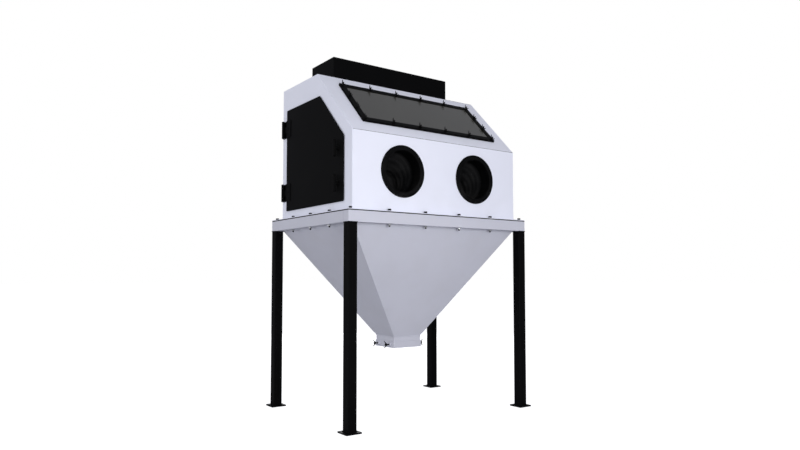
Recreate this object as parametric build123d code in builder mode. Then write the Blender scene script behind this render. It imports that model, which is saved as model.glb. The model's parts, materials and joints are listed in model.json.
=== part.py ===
from build123d import *
import os
from math import radians, sqrt, tan

# A free-standing sandblast cabinet: a sheet-steel chamber with a sloping window, two arm ports and a side door,
# bolted to a rim that carries a collecting hopper and stands on four legs.
# Millimetres, +Z up. The origin is on the floor under the middle of the cabinet; the operator stands at -Y
# and faces +Y, so left is -X.

os.makedirs("parts", exist_ok=True)

# ---------------------------------------------------------------- driving dimensions
# rim and stand
RIM_WIDTH = 960.0
RIM_DEPTH = 700.0
RIM_TUBE = 40.0
TUBE_WALL = 2.5
TUBE_CORNER = 3.0
RIM_BOTTOM = 810.0
RIM_TOP = 855.0
GASKET_TOP = 859.0
DECK = 862.0
LEG_SIDE = 40.0
LEG_CAP = 5.0
FOOT_SIDE = 70.0
FOOT_THICKNESS = 6.0
ANCHOR_OFFSET = 26.0
ANCHOR_RADIUS = 4.5

# flange bolts, M8
BOLT_RADIUS = 4.0
BOLT_HOLE = 4.5
BOLT_FLATS = 13.0
BOLT_HEAD = 7.5
BOLT_FLANGE_RADIUS = 9.0
BOLT_FLANGE = 1.6
BOLT_END = 798.0
NUT_HEIGHT = 6.5
BOLT_INSET = 19.0
BOLTS_ACROSS = 6
BOLTS_DEEP = 5

# hopper and its outlet
HOPPER_SHEET = 2.0
HOPPER_LIP = 25.0
NECK_SIDE = 147.0
NECK_TOP = 326.0
NECK_BOTTOM = 282.0
NECK_WALL = 3.0
CAP_SIDE = 153.0
CAP_WALL = 2.0
CAP_BOTTOM = 276.0
CAP_TOP = 304.0
CAP_SEAL = 3.7
CAP_SCREW_HEIGHT = 291.0
CAP_SCREW_SPACING = 92.0
CAP_SCREW_RADIUS = 3.0
CAP_BOSS_RADIUS = 8.0
CAP_BOSS = 7.0

# chamber
CABINET_WIDTH = 886.0
CABINET_DEPTH = 628.0
BEND_HEIGHT = 1182.5
ROOF_HEIGHT = 1475.0
SHEET = 3.0
FLANGE_LIP = 3.0

# window, measured along the slope from the bend
WINDOW_WIDTH = 730.0
WINDOW_LENGTH = 284.0
WINDOW_START = 66.0
WINDOW_BAR = 25.0
WINDOW_REBATE = 8.0
WINDOW_SEAL = 3.0
WINDOW_GLASS = 4.0
WINDOW_FRAME = 2.5
STUD_RADIUS = 3.0
STUD_LENGTH = 23.0
STUD_CLEARANCE = 0.2
WINDOW_CORNER = 4.0
STUDS_ACROSS = 6
STUDS_DEEP = 4

# arm ports
PORT_SPACING = 396.0
PORT_HEIGHT = 1033.0
PORT_OUTER = 109.5
PORT_INNER = 88.0
PORT_SLEEVE = 91.0
PORT_FLANGE = 6.0
PORT_REACH = 50.0
PORT_SCREW_CIRCLE = 99.5
PORT_SCREWS = 6
PORT_SCREW_RADIUS = 2.0
PORT_SCREW_HEAD = 4.2
PORT_SCREW_HEIGHT = 2.4
NUT_SPACE = 4.0
CUFF = 2.0
CLAMP_BAND = 1.2
CLAMP_WIDTH = 12.0
CLAMP_BLOCK = (24.0, 9.0)
CLAMP_SCREW = (4.0, 34.0)

# door on the left side
DOOR_BACK = 264.0
DOOR_FRONT = -255.0
DOOR_TOP = 1370.5
DOOR_BOTTOM = 899.5
DOOR_SLOPE_MARGIN = 53.0
DOOR_SEAL = 2.7
DOOR_GAP = 3.0
DOOR_SHEET = 3.0
DOOR_LAP = 22.0
DOOR_CORNER = 6.0
SEAL_WIDTH = 14.0
SEAL_INSET = 4.0
HINGE_HEIGHTS = (986.0, 1283.0)
HINGE_LENGTH = 80.0
HINGE_X = -454.0
HINGE_Y = 291.0
HINGE_BARREL = 7.0
HINGE_PIN = 3.0
HINGE_LEAF = 2.5
HINGE_LEAF_WIDTH = 42.0
HINGE_PIN_HEAD = 2.0
RUNNING_FIT = 0.05
LATCH_Y = -207.0
LATCH_HEIGHTS = (975.0, 1120.0)
LATCH_SHAFT = 5.0
BUSHING_RADIUS = 11.0
CAM_REACH = 42.0
CAM_THICKNESS = 4.0
CAM_WIDTH = 16.0
MOVING_GAP = 0.3

# chamber floor
GRATE_BOTTOM = 865.0
GRATE_HEIGHT = 10.0
GRATE_BAR = 5.0
GRATE_SLOTS_ACROSS = 21
GRATE_SLOTS_DEEP = 3
GRATE_PLAY = 4.0
LEDGE_SIDE = 25.0

# light box on the roof
LAMP_X = -20.0
LAMP_WIDTH = 646.0
LAMP_DEPTH = 204.0
LAMP_HEIGHT = 106.0
LAMP_BEHIND_RIDGE = 35.5
LAMP_SHEET = 2.0
LAMP_OPENING = (560.0, 130.0)
LAMP_GLASS = 4.0
LAMP_GLASS_LAP = 10.0
BATTEN_LENGTH = 590.0
BATTEN_WIDTH = 42.0
BATTEN_DEPTH = 30.0
BATTEN_SPACING = 90.0

# fittings on the back
EXHAUST_X = -240.0
EXHAUST_HEIGHT = 1260.0
EXHAUST_RADIUS = 50.0
EXHAUST_WALL = 2.0
EXHAUST_LENGTH = 42.0
EXHAUST_FLANGE = 14.0
EXHAUST_FLANGE_THICKNESS = 3.0
INLET_X = 260.0
INLET_HEIGHT = 920.0
INLET_BORE = 5.72
INLET_SHANK = 9.0
INLET_HEX = 14.0
INLET_HEAD = 14.0
INLET_NUT = 8.0
INLET_LENGTH = 36.0

# blast gun, lying on the grate
GUN_Y = 205.0
GUN_BARREL = 16.0
GUN_HEIGHT = GRATE_BOTTOM + GRATE_HEIGHT + GUN_BARREL
GUN_TAIL = -98.0
GUN_BACK = -72.0
GUN_FRONT = 50.0
GUN_TAIL_RADIUS = 9.0
GUN_PASSAGE = 5.0
GRIP_THICKNESS = 24.0
LUG_TOP = 11.0
LUG_THICKNESS = 4.0
LUG_RADIUS = 7.0
TRIGGER_X = -16.0
TRIGGER_Y = 180.0
TRIGGER_PIN = 2.5
NOZZLE_NUT = (13.0, 16.0)
NOZZLE_TIP = (8.0, 34.0)
NOZZLE_BORE = 3.5

# ---------------------------------------------------------------- worked-out values
HALF_WIDTH = CABINET_WIDTH / 2
HALF_DEPTH = CABINET_DEPTH / 2
INNER_HALF = HALF_WIDTH - SHEET
FRONT = -HALF_DEPTH
RIDGE = FRONT + ROOF_HEIGHT - BEND_HEIGHT
MITRE = SHEET * tan(radians(22.5))
LEG_X = (RIM_WIDTH - LEG_SIDE) / 2
LEG_Y = (RIM_DEPTH - LEG_SIDE) / 2
BOLT_X = RIM_WIDTH - 2 * BOLT_INSET
BOLT_Y = RIM_DEPTH - 2 * BOLT_INSET
HOPPER_X = RIM_WIDTH / 2 - RIM_TUBE
HOPPER_Y = RIM_DEPTH / 2 - RIM_TUBE
DIAGONAL = sqrt(0.5)
WINDOW_MIDDLE = WINDOW_START + WINDOW_LENGTH / 2
WINDOW_STACK = WINDOW_SEAL + WINDOW_GLASS + WINDOW_FRAME
STUD_WIDTH = WINDOW_WIDTH - WINDOW_BAR
STUD_DEPTH = WINDOW_LENGTH - WINDOW_BAR
WALL_X = -HALF_WIDTH
DOOR_X = WALL_X - DOOR_GAP
DOOR_FACE = DOOR_X - DOOR_SHEET
CAM_X = WALL_X + SHEET + MOVING_GAP
LAMP_Y = RIDGE + LAMP_BEHIND_RIDGE + LAMP_DEPTH / 2

window_plane = Plane(
    origin=(0, FRONT + WINDOW_MIDDLE * DIAGONAL, BEND_HEIGHT + WINDOW_MIDDLE * DIAGONAL),
    x_dir=(1, 0, 0),
    z_dir=(0, -1, 1),
)
front_plane = Plane(origin=(0, FRONT, PORT_HEIGHT), x_dir=(1, 0, 0), z_dir=(0, -1, 0))
back_plane = Plane(origin=(0, HALF_DEPTH, 0), x_dir=(-1, 0, 0), z_dir=(0, 1, 0))
LEG_CORNERS = {
    "front_left": (-1, -1),
    "front_right": (1, -1),
    "rear_left": (-1, 1),
    "rear_right": (1, 1),
}


def save(piece, name):
    """Labels a finished piece and writes its STEP file."""
    piece.part.label = name
    export_step(piece.part, f"parts/{name}.step")


def five_sided(back, front, top, bottom, slope_margin):
    """Side outline in (y, z): upright back and front, flat top and bottom, 45 degree slope between."""
    slope = BEND_HEIGHT - FRONT - slope_margin / DIAGONAL
    return [(back, bottom), (back, top), (top - slope, top), (front, front + slope), (front, bottom)]


def door_outline(inset):
    """The door's outline, drawn in by the same amount on all five sides."""
    return five_sided(
        DOOR_BACK - inset,
        DOOR_FRONT + inset,
        DOOR_TOP - inset,
        DOOR_BOTTOM + inset,
        DOOR_SLOPE_MARGIN + inset,
    )


# ---------------------------------------------------------------- legs and feet
for corner, (side_x, side_y) in LEG_CORNERS.items():
    leg_foot = Plane.XY.offset(FOOT_THICKNESS)
    leg_length = RIM_BOTTOM - FOOT_THICKNESS
    with BuildPart() as leg:
        with BuildSketch(leg_foot):
            with Locations((side_x * LEG_X, side_y * LEG_Y)):
                RectangleRounded(LEG_SIDE, LEG_SIDE, TUBE_CORNER)
        extrude(amount=leg_length)
        with BuildSketch(leg_foot):
            with Locations((side_x * LEG_X, side_y * LEG_Y)):
                Rectangle(LEG_SIDE - 2 * TUBE_WALL, LEG_SIDE - 2 * TUBE_WALL)
        extrude(amount=leg_length - LEG_CAP, mode=Mode.SUBTRACT)
        with BuildSketch(leg_foot):
            with Locations((side_x * BOLT_X / 2, side_y * BOLT_Y / 2)):
                Circle(BOLT_HOLE)
        extrude(amount=leg_length, mode=Mode.SUBTRACT)
    save(leg, f"leg_{corner}")

with BuildPart() as foot_plates:
    with BuildSketch():
        with GridLocations(2 * LEG_X, 2 * LEG_Y, 2, 2):
            RectangleRounded(FOOT_SIDE, FOOT_SIDE, TUBE_CORNER)
        with GridLocations(2 * (LEG_X + ANCHOR_OFFSET), 2 * (LEG_Y + ANCHOR_OFFSET), 2, 2):
            Circle(ANCHOR_RADIUS, mode=Mode.SUBTRACT)
    extrude(amount=FOOT_THICKNESS)
save(foot_plates, "foot_plates")

# ---------------------------------------------------------------- rim of rectangular tube
bolt_hole_plane = Plane.XY.offset(RIM_BOTTOM)
for name, side in (("front", -1), ("rear", 1)):
    with BuildPart() as rim_rail:
        with BuildSketch(bolt_hole_plane):
            with Locations((0, side * LEG_Y)):
                RectangleRounded(RIM_WIDTH, RIM_TUBE, TUBE_CORNER)
        extrude(amount=RIM_TOP - RIM_BOTTOM)
        with BuildSketch(Plane.XY.offset(RIM_BOTTOM + TUBE_WALL)):
            with Locations((0, side * LEG_Y)):
                Rectangle(RIM_WIDTH - 2 * TUBE_WALL, RIM_TUBE - 2 * TUBE_WALL)
        extrude(amount=RIM_TOP - RIM_BOTTOM - 2 * TUBE_WALL, mode=Mode.SUBTRACT)
        with BuildSketch(bolt_hole_plane):
            with GridLocations(BOLT_X / (BOLTS_ACROSS - 1), BOLT_Y, BOLTS_ACROSS, 2):
                Circle(BOLT_HOLE)
        extrude(amount=RIM_TOP - RIM_BOTTOM, mode=Mode.SUBTRACT)
    save(rim_rail, f"rim_rail_{name}")

for name, side in (("left", -1), ("right", 1)):
    with BuildPart() as rim_rail:
        with BuildSketch(bolt_hole_plane):
            with Locations((side * LEG_X, 0)):
                Rectangle(RIM_TUBE, 2 * HOPPER_Y)
        extrude(amount=RIM_TOP - RIM_BOTTOM)
        with BuildSketch(Plane.XY.offset(RIM_BOTTOM + TUBE_WALL)):
            with Locations((side * LEG_X, 0)):
                Rectangle(RIM_TUBE - 2 * TUBE_WALL, 2 * HOPPER_Y)
        extrude(amount=RIM_TOP - RIM_BOTTOM - 2 * TUBE_WALL, mode=Mode.SUBTRACT)
        with BuildSketch(bolt_hole_plane):
            with GridLocations(BOLT_X, BOLT_Y / (BOLTS_DEEP - 1), 2, BOLTS_DEEP):
                Circle(BOLT_HOLE)
        extrude(amount=RIM_TOP - RIM_BOTTOM, mode=Mode.SUBTRACT)
    save(rim_rail, f"rim_rail_{name}")

# ---------------------------------------------------------------- gasket, cabinet flange and their bolts
flange_layers = (
    ("rim_gasket", RIM_TOP, GASKET_TOP, RIM_TUBE),
    ("cabinet_flange", GASKET_TOP, DECK, (RIM_WIDTH - 2 * INNER_HALF) / 2 + FLANGE_LIP),
)
for name, bottom, top, bar in flange_layers:
    with BuildPart() as layer:
        with BuildSketch(Plane.XY.offset(bottom)):
            RectangleRounded(RIM_WIDTH, RIM_DEPTH, TUBE_CORNER)
            Rectangle(RIM_WIDTH - 2 * bar, RIM_DEPTH - 2 * bar, mode=Mode.SUBTRACT)
            with GridLocations(BOLT_X / (BOLTS_ACROSS - 1), BOLT_Y, BOLTS_ACROSS, 2):
                Circle(BOLT_HOLE, mode=Mode.SUBTRACT)
            with GridLocations(BOLT_X, BOLT_Y / (BOLTS_DEEP - 1), 2, BOLTS_DEEP - 2):
                Circle(BOLT_HOLE, mode=Mode.SUBTRACT)
        extrude(amount=top - bottom)
    save(layer, name)

across_step = BOLT_X / (BOLTS_ACROSS - 1)
deep_step = BOLT_Y / (BOLTS_DEEP - 1)
bolt_places = [
    (across_step * (i - (BOLTS_ACROSS - 1) / 2), side * BOLT_Y / 2)
    for i in range(BOLTS_ACROSS)
    for side in (-1, 1)
] + [
    (side * BOLT_X / 2, deep_step * (i - (BOLTS_DEEP - 1) / 2))
    for i in range(1, BOLTS_DEEP - 1)
    for side in (-1, 1)
]
corner_places = [place for place in bolt_places if abs(place[0]) > LEG_X and abs(place[1]) > LEG_Y]
rim_places = [place for place in bolt_places if place not in corner_places]

with BuildPart() as flange_bolts:
    with BuildSketch(Plane.XY.offset(BOLT_END)):
        with Locations(*bolt_places):
            Circle(BOLT_RADIUS)
    extrude(amount=DECK - BOLT_END)
    with BuildSketch(Plane.XY.offset(DECK)):
        with Locations(*bolt_places):
            Circle(BOLT_FLANGE_RADIUS)
    extrude(amount=BOLT_FLANGE)
    with BuildSketch(Plane.XY.offset(DECK + BOLT_FLANGE)):
        with Locations(*bolt_places):
            RegularPolygon(BOLT_FLATS / 2, 6, major_radius=False)
    extrude(amount=BOLT_HEAD)
save(flange_bolts, "flange_bolts")

with BuildPart() as flange_nuts:
    for places, seat in ((rim_places, RIM_BOTTOM), (corner_places, RIM_BOTTOM - LEG_CAP)):
        with BuildSketch(Plane.XY.offset(seat)):
            with Locations(*places):
                RegularPolygon(BOLT_FLATS / 2, 6, major_radius=False)
                Circle(BOLT_RADIUS, mode=Mode.SUBTRACT)
        extrude(amount=-NUT_HEIGHT)
save(flange_nuts, "flange_nuts")

# ---------------------------------------------------------------- hopper of four mitred plates
hopper_drop = RIM_BOTTOM - NECK_TOP
run_x = HOPPER_X - NECK_SIDE / 2
run_y = HOPPER_Y - NECK_SIDE / 2
thick_x = HOPPER_SHEET * sqrt(hopper_drop**2 + run_x**2) / hopper_drop
thick_y = HOPPER_SHEET * sqrt(hopper_drop**2 + run_y**2) / hopper_drop


def hopper_section(half_x, half_y, name):
    """A plate's mitred section where the hopper's outside measures half_x by half_y either way."""
    inner_x = half_x - thick_x
    inner_y = half_y - thick_y
    outlines = {
        "front": [(-half_x, -half_y), (half_x, -half_y), (inner_x, -inner_y), (-inner_x, -inner_y)],
        "rear": [(half_x, half_y), (-half_x, half_y), (-inner_x, inner_y), (inner_x, inner_y)],
        "left": [(-half_x, half_y), (-half_x, -half_y), (-inner_x, -inner_y), (-inner_x, inner_y)],
        "right": [(half_x, -half_y), (half_x, half_y), (inner_x, inner_y), (inner_x, -inner_y)],
    }
    return outlines[name]


for name in ("front", "rear", "left", "right"):
    with BuildPart() as hopper_plate:
        with BuildSketch(Plane.XY.offset(NECK_TOP)):
            Polygon(*hopper_section(NECK_SIDE / 2, NECK_SIDE / 2, name), align=None)
        with BuildSketch(Plane.XY.offset(RIM_BOTTOM)):
            Polygon(*hopper_section(HOPPER_X, HOPPER_Y, name), align=None)
        loft(ruled=True)
        with BuildSketch(Plane.XY.offset(RIM_BOTTOM)):
            Polygon(*hopper_section(HOPPER_X, HOPPER_Y, name), align=None)
        extrude(amount=HOPPER_LIP)
    save(hopper_plate, f"hopper_{name}")

with BuildPart() as hopper_neck:
    with BuildSketch(Plane.XY.offset(NECK_BOTTOM)):
        Rectangle(NECK_SIDE, NECK_SIDE)
        Rectangle(NECK_SIDE - 2 * NECK_WALL, NECK_SIDE - 2 * NECK_WALL, mode=Mode.SUBTRACT)
    extrude(amount=NECK_TOP - NECK_BOTTOM)
save(hopper_neck, "hopper_neck")

# ---------------------------------------------------------------- outlet cap, clamped by screws in its bosses
cap_face = CAP_SIDE / 2
with BuildPart() as outlet_cap:
    with BuildSketch(Plane.XY.offset(CAP_BOTTOM)):
        RectangleRounded(CAP_SIDE, CAP_SIDE, CAP_WALL)
    extrude(amount=CAP_TOP - CAP_BOTTOM)
    for side in (-1, 1):
        boss_plane = Plane(origin=(side * cap_face, 0, CAP_SCREW_HEIGHT), x_dir=(0, 1, 0), z_dir=(side, 0, 0))
        with BuildSketch(boss_plane):
            with GridLocations(CAP_SCREW_SPACING, 1, 2, 1):
                Circle(CAP_BOSS_RADIUS)
        extrude(amount=CAP_BOSS)
    with BuildSketch(Plane.XY.offset(CAP_BOTTOM + CAP_WALL)):
        Rectangle(CAP_SIDE - 2 * CAP_WALL, CAP_SIDE - 2 * CAP_WALL)
    extrude(amount=CAP_TOP - CAP_BOTTOM, mode=Mode.SUBTRACT)
    with BuildSketch(Plane.YZ.offset(-cap_face - CAP_BOSS)):
        with Locations((0, CAP_SCREW_HEIGHT)):
            with GridLocations(CAP_SCREW_SPACING, 1, 2, 1):
                Circle(CAP_SCREW_RADIUS)
    extrude(amount=CAP_SIDE + 2 * CAP_BOSS, mode=Mode.SUBTRACT)
save(outlet_cap, "outlet_cap")

with BuildPart() as outlet_gasket:
    with BuildSketch(Plane.XY.offset(CAP_BOTTOM + CAP_WALL)):
        RectangleRounded(CAP_SIDE - 2 * CAP_WALL, CAP_SIDE - 2 * CAP_WALL, CAP_WALL)
    extrude(amount=CAP_SEAL)
save(outlet_gasket, "outlet_gasket")

# ---------------------------------------------------------------- winged head, shared by screws and wing nuts
WING_SPAN = 32.0
WING_HEIGHT = 16.0
WING_THICKNESS = 3.0
WING_HUB = 6.0
HUB_HEIGHT = 8.0

with BuildPart() as winged_head:
    with BuildSketch():
        Circle(WING_HUB)
    extrude(amount=HUB_HEIGHT, taper=8)
    with BuildSketch(Plane.XZ.offset(-WING_THICKNESS / 2)):
        with BuildLine():
            Polyline((0, 1), (WING_HUB, 1), (WING_SPAN / 2 - 1, HUB_HEIGHT - 1))
            Line((WING_SPAN / 2 - 1, HUB_HEIGHT - 1), (WING_SPAN / 2, WING_HEIGHT - 3))
            ThreePointArc(
                (WING_SPAN / 2, WING_HEIGHT - 3),
                (WING_SPAN / 2 - 3, WING_HEIGHT),
                (WING_SPAN / 2 - 6, WING_HEIGHT - 3),
            )
            Polyline(
                (WING_SPAN / 2 - 6, WING_HEIGHT - 3),
                (WING_HUB - 1, HUB_HEIGHT - 1),
                (0, HUB_HEIGHT - 1),
                (0, 1),
            )
        make_face()
        mirror(about=Plane.YZ)
    extrude(amount=WING_THICKNESS)
with BuildPart() as wing_nut:
    add(winged_head.part)
    Hole(STUD_RADIUS)

CAP_SCREW_SHANK = 22.0
with BuildPart() as wing_screw:
    with BuildSketch():
        Circle(CAP_SCREW_RADIUS)
    extrude(amount=CAP_SCREW_SHANK)
    with Locations(Location((0, 0, CAP_SCREW_SHANK), (0, 0, 90))):
        add(winged_head.part)

with BuildPart() as cap_wing_screws:
    for side in (-1, 1):
        for place in (-CAP_SCREW_SPACING / 2, CAP_SCREW_SPACING / 2):
            tip = (side * (NECK_SIDE / 2 + MOVING_GAP), place, CAP_SCREW_HEIGHT)
            with Locations(Plane(origin=tip, x_dir=(0, 1, 0), z_dir=(side, 0, 0))):
                add(wing_screw.part)
save(cap_wing_screws, "cap_wing_screws")

# ---------------------------------------------------------------- chamber walls
with BuildPart() as front_panel:
    with BuildSketch(Plane.YZ.offset(-INNER_HALF)):
        Polygon(
            (FRONT, DECK),
            (FRONT + SHEET, DECK),
            (FRONT + SHEET, BEND_HEIGHT - MITRE),
            (FRONT, BEND_HEIGHT),
            align=None,
        )
    extrude(amount=2 * INNER_HALF)
    with BuildSketch(front_plane):
        with GridLocations(PORT_SPACING, 1, 2, 1):
            Circle(PORT_SLEEVE + MOVING_GAP)
            with PolarLocations(PORT_SCREW_CIRCLE, PORT_SCREWS, 30):
                Circle(PORT_SCREW_RADIUS)
    extrude(amount=-SHEET, mode=Mode.SUBTRACT)
save(front_panel, "front_panel")

with BuildPart() as window_panel:
    with BuildSketch(Plane.YZ.offset(-INNER_HALF)):
        Polygon(
            (FRONT, BEND_HEIGHT),
            (FRONT + SHEET, BEND_HEIGHT - MITRE),
            (RIDGE + MITRE, ROOF_HEIGHT - SHEET),
            (RIDGE, ROOF_HEIGHT),
            align=None,
        )
    extrude(amount=2 * INNER_HALF)
    with BuildSketch(window_plane):
        Rectangle(WINDOW_WIDTH - 2 * WINDOW_BAR, WINDOW_LENGTH - 2 * WINDOW_BAR)
    extrude(amount=-2 * SHEET, mode=Mode.SUBTRACT)
save(window_panel, "window_panel")

with BuildPart() as roof_panel:
    with BuildSketch(Plane.YZ.offset(-INNER_HALF)):
        Polygon(
            (RIDGE, ROOF_HEIGHT),
            (RIDGE + MITRE, ROOF_HEIGHT - SHEET),
            (HALF_DEPTH, ROOF_HEIGHT - SHEET),
            (HALF_DEPTH, ROOF_HEIGHT),
            align=None,
        )
    extrude(amount=2 * INNER_HALF)
    with BuildSketch(Plane.XY.offset(ROOF_HEIGHT)):
        with Locations((LAMP_X, LAMP_Y)):
            Rectangle(*LAMP_OPENING)
    extrude(amount=-SHEET, mode=Mode.SUBTRACT)
save(roof_panel, "roof_panel")

with BuildPart() as back_panel:
    with BuildSketch(back_plane):
        with Locations((0, (DECK + ROOF_HEIGHT - SHEET) / 2)):
            Rectangle(2 * INNER_HALF, ROOF_HEIGHT - SHEET - DECK)
        with Locations((-EXHAUST_X, EXHAUST_HEIGHT)):
            Circle(EXHAUST_RADIUS - EXHAUST_WALL, mode=Mode.SUBTRACT)
        with Locations((-INLET_X, INLET_HEIGHT)):
            Circle(INLET_SHANK + 0.2, mode=Mode.SUBTRACT)
    extrude(amount=-SHEET)
save(back_panel, "back_panel")

wall_outline = five_sided(HALF_DEPTH, FRONT, ROOF_HEIGHT, DECK, 0)
with BuildPart() as left_side_panel:
    with BuildSketch(Plane.YZ.offset(-HALF_WIDTH)):
        Polygon(*wall_outline, align=None)
        Polygon(*door_outline(DOOR_LAP), align=None, mode=Mode.SUBTRACT)
    extrude(amount=SHEET)
save(left_side_panel, "left_side_panel")

with BuildPart() as right_side_panel:
    with BuildSketch(Plane.YZ.offset(INNER_HALF)):
        Polygon(*wall_outline, align=None)
    extrude(amount=SHEET)
save(right_side_panel, "right_side_panel")

# ---------------------------------------------------------------- window: seal, glass, clamping frame, studs, nuts
glass_width = WINDOW_WIDTH - 2 * (WINDOW_BAR - WINDOW_REBATE)
glass_length = WINDOW_LENGTH - 2 * (WINDOW_BAR - WINDOW_REBATE)
edge_step = STUD_WIDTH / (STUDS_ACROSS - 1)
side_step = STUD_DEPTH / (STUDS_DEEP - 1)

with BuildPart() as window_gasket:
    with BuildSketch(window_plane):
        RectangleRounded(WINDOW_WIDTH, WINDOW_LENGTH, WINDOW_CORNER)
        Rectangle(WINDOW_WIDTH - 2 * WINDOW_BAR, WINDOW_LENGTH - 2 * WINDOW_BAR, mode=Mode.SUBTRACT)
        with GridLocations(edge_step, STUD_DEPTH, STUDS_ACROSS, 2):
            Circle(STUD_RADIUS, mode=Mode.SUBTRACT)
        with GridLocations(STUD_WIDTH, side_step, 2, STUDS_DEEP - 2):
            Circle(STUD_RADIUS, mode=Mode.SUBTRACT)
    extrude(amount=WINDOW_SEAL + WINDOW_GLASS)
    with BuildSketch(window_plane.offset(WINDOW_SEAL)):
        Rectangle(glass_width, glass_length)
    extrude(amount=WINDOW_GLASS, mode=Mode.SUBTRACT)
save(window_gasket, "window_gasket")

with BuildPart() as window_glass:
    with BuildSketch(window_plane.offset(WINDOW_SEAL)):
        Rectangle(glass_width, glass_length)
    extrude(amount=WINDOW_GLASS)
save(window_glass, "window_glass")

with BuildPart() as window_frame:
    with BuildSketch(window_plane.offset(WINDOW_SEAL + WINDOW_GLASS)):
        RectangleRounded(WINDOW_WIDTH, WINDOW_LENGTH, WINDOW_CORNER)
        Rectangle(WINDOW_WIDTH - 2 * WINDOW_BAR, WINDOW_LENGTH - 2 * WINDOW_BAR, mode=Mode.SUBTRACT)
        with GridLocations(edge_step, STUD_DEPTH, STUDS_ACROSS, 2):
            Circle(STUD_RADIUS + STUD_CLEARANCE, mode=Mode.SUBTRACT)
        with GridLocations(STUD_WIDTH, side_step, 2, STUDS_DEEP - 2):
            Circle(STUD_RADIUS + STUD_CLEARANCE, mode=Mode.SUBTRACT)
    extrude(amount=WINDOW_FRAME)
save(window_frame, "window_frame")

with BuildPart() as window_studs:
    with BuildSketch(window_plane):
        with GridLocations(edge_step, STUD_DEPTH, STUDS_ACROSS, 2):
            Circle(STUD_RADIUS)
        with GridLocations(STUD_WIDTH, side_step, 2, STUDS_DEEP - 2):
            Circle(STUD_RADIUS)
    extrude(amount=STUD_LENGTH)
save(window_studs, "window_studs")

with BuildPart() as window_wing_nuts:
    with Locations(window_plane.offset(WINDOW_STACK)):
        with GridLocations(edge_step, STUD_DEPTH, STUDS_ACROSS, 2):
            with Locations(Rotation(0, 0, 90)):
                add(wing_nut.part)
        with GridLocations(STUD_WIDTH, side_step, 2, STUDS_DEEP - 2):
            with Locations(Rotation(0, 0, 90)):
                add(wing_nut.part)
save(window_wing_nuts, "window_wing_nuts")

# ---------------------------------------------------------------- arm ports
CLAMP_START = 18.0
CUFF_START = 12.0
SLEEVE_END = PORT_FLANGE + PORT_REACH

# Profile in (radius, depth behind the ring's outer face); the ring's flange stands on the front panel.
with BuildPart() as port_ring:
    with BuildSketch(Plane.XZ):
        with BuildLine():
            Polyline(
                (PORT_INNER, 2),
                (PORT_INNER, SLEEVE_END),
                (PORT_SLEEVE, SLEEVE_END),
                (PORT_SLEEVE, PORT_FLANGE),
                (PORT_OUTER, PORT_FLANGE),
                (PORT_OUTER, 3),
            )
            ThreePointArc(
                (PORT_OUTER, 3),
                (PORT_OUTER - 3 + 3 * DIAGONAL, 3 - 3 * DIAGONAL),
                (PORT_OUTER - 3, 0),
            )
            Line((PORT_OUTER - 3, 0), (PORT_INNER + 2, 0))
            ThreePointArc(
                (PORT_INNER + 2, 0),
                (PORT_INNER + 2 - 2 * DIAGONAL, 2 - 2 * DIAGONAL),
                (PORT_INNER, 2),
            )
        make_face()
    revolve(axis=Axis.Z)
    with BuildSketch():
        with PolarLocations(PORT_SCREW_CIRCLE, PORT_SCREWS, 30):
            Circle(PORT_SCREW_RADIUS)
    extrude(amount=PORT_FLANGE, mode=Mode.SUBTRACT)

with BuildPart() as port_screw:
    with BuildSketch():
        Circle(PORT_SCREW_HEAD)
    extrude(amount=-PORT_SCREW_HEIGHT, taper=35)
    with BuildSketch():
        Circle(PORT_SCREW_RADIUS)
    extrude(amount=PORT_FLANGE + SHEET + NUT_SPACE)

# Worm-drive band with its screw housing on top.
band_inner = PORT_SLEEVE + CUFF
with BuildPart() as glove_clamp:
    with BuildSketch(Plane.XY.offset(PORT_FLANGE + CLAMP_START)):
        Circle(band_inner + CLAMP_BAND)
        Circle(band_inner, mode=Mode.SUBTRACT)
    extrude(amount=CLAMP_WIDTH)
    with BuildSketch(Plane.XY.offset(PORT_FLANGE + CLAMP_START - 1)):
        with Locations((0, -band_inner - 5)):
            Rectangle(*CLAMP_BLOCK)
    extrude(amount=CLAMP_WIDTH + 2)
    screw_place = (0, -band_inner - 6, PORT_FLANGE + CLAMP_START + CLAMP_WIDTH / 2)
    with Locations(Location(screw_place, (0, 90, 0))):
        Cylinder(*CLAMP_SCREW)

# The glove: a cuff round the ring's sleeve, a sleeve that droops to the grate, and a closed hand lying on it.
# Sections as (depth behind the ring's face, drop below the port's axis, half width, half height).
GLOVE_SECTIONS = (
    (SLEEVE_END + 3, 0, PORT_SLEEVE + CUFF, PORT_SLEEVE + CUFF),
    (150, 40, 76, 72),
    (245, 96, 56, 46),
    (330, 127, 50, 30),
    (440, 134, 40, 22),
)
GLOVE_SKIN = 2.0
GLOVE_HOLLOW = 3


def glove_section(depth, drop):
    """Plane across the glove, facing into the chamber from the ring's face."""
    return Plane(origin=(0, drop, depth), x_dir=(1, 0, 0), z_dir=(0, 0, 1))


with BuildPart() as glove_skin:
    for depth, drop, half_width, half_height in GLOVE_SECTIONS:
        with BuildSketch(glove_section(depth, drop)):
            Ellipse(half_width, half_height)
    loft(ruled=True)
with BuildPart() as glove_inside:
    for depth, drop, half_width, half_height in GLOVE_SECTIONS[:GLOVE_HOLLOW]:
        with BuildSketch(glove_section(depth, drop)):
            Ellipse(half_width - GLOVE_SKIN, half_height - GLOVE_SKIN)
    loft(ruled=True)
with BuildPart() as glove:
    add(glove_skin.part)
    add(glove_inside.part, mode=Mode.SUBTRACT)
    with BuildSketch(Plane.XY.offset(PORT_FLANGE + CUFF_START)):
        Circle(PORT_SLEEVE + CUFF)
        Circle(PORT_SLEEVE, mode=Mode.SUBTRACT)
    extrude(amount=PORT_REACH + 3 - CUFF_START)

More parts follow.
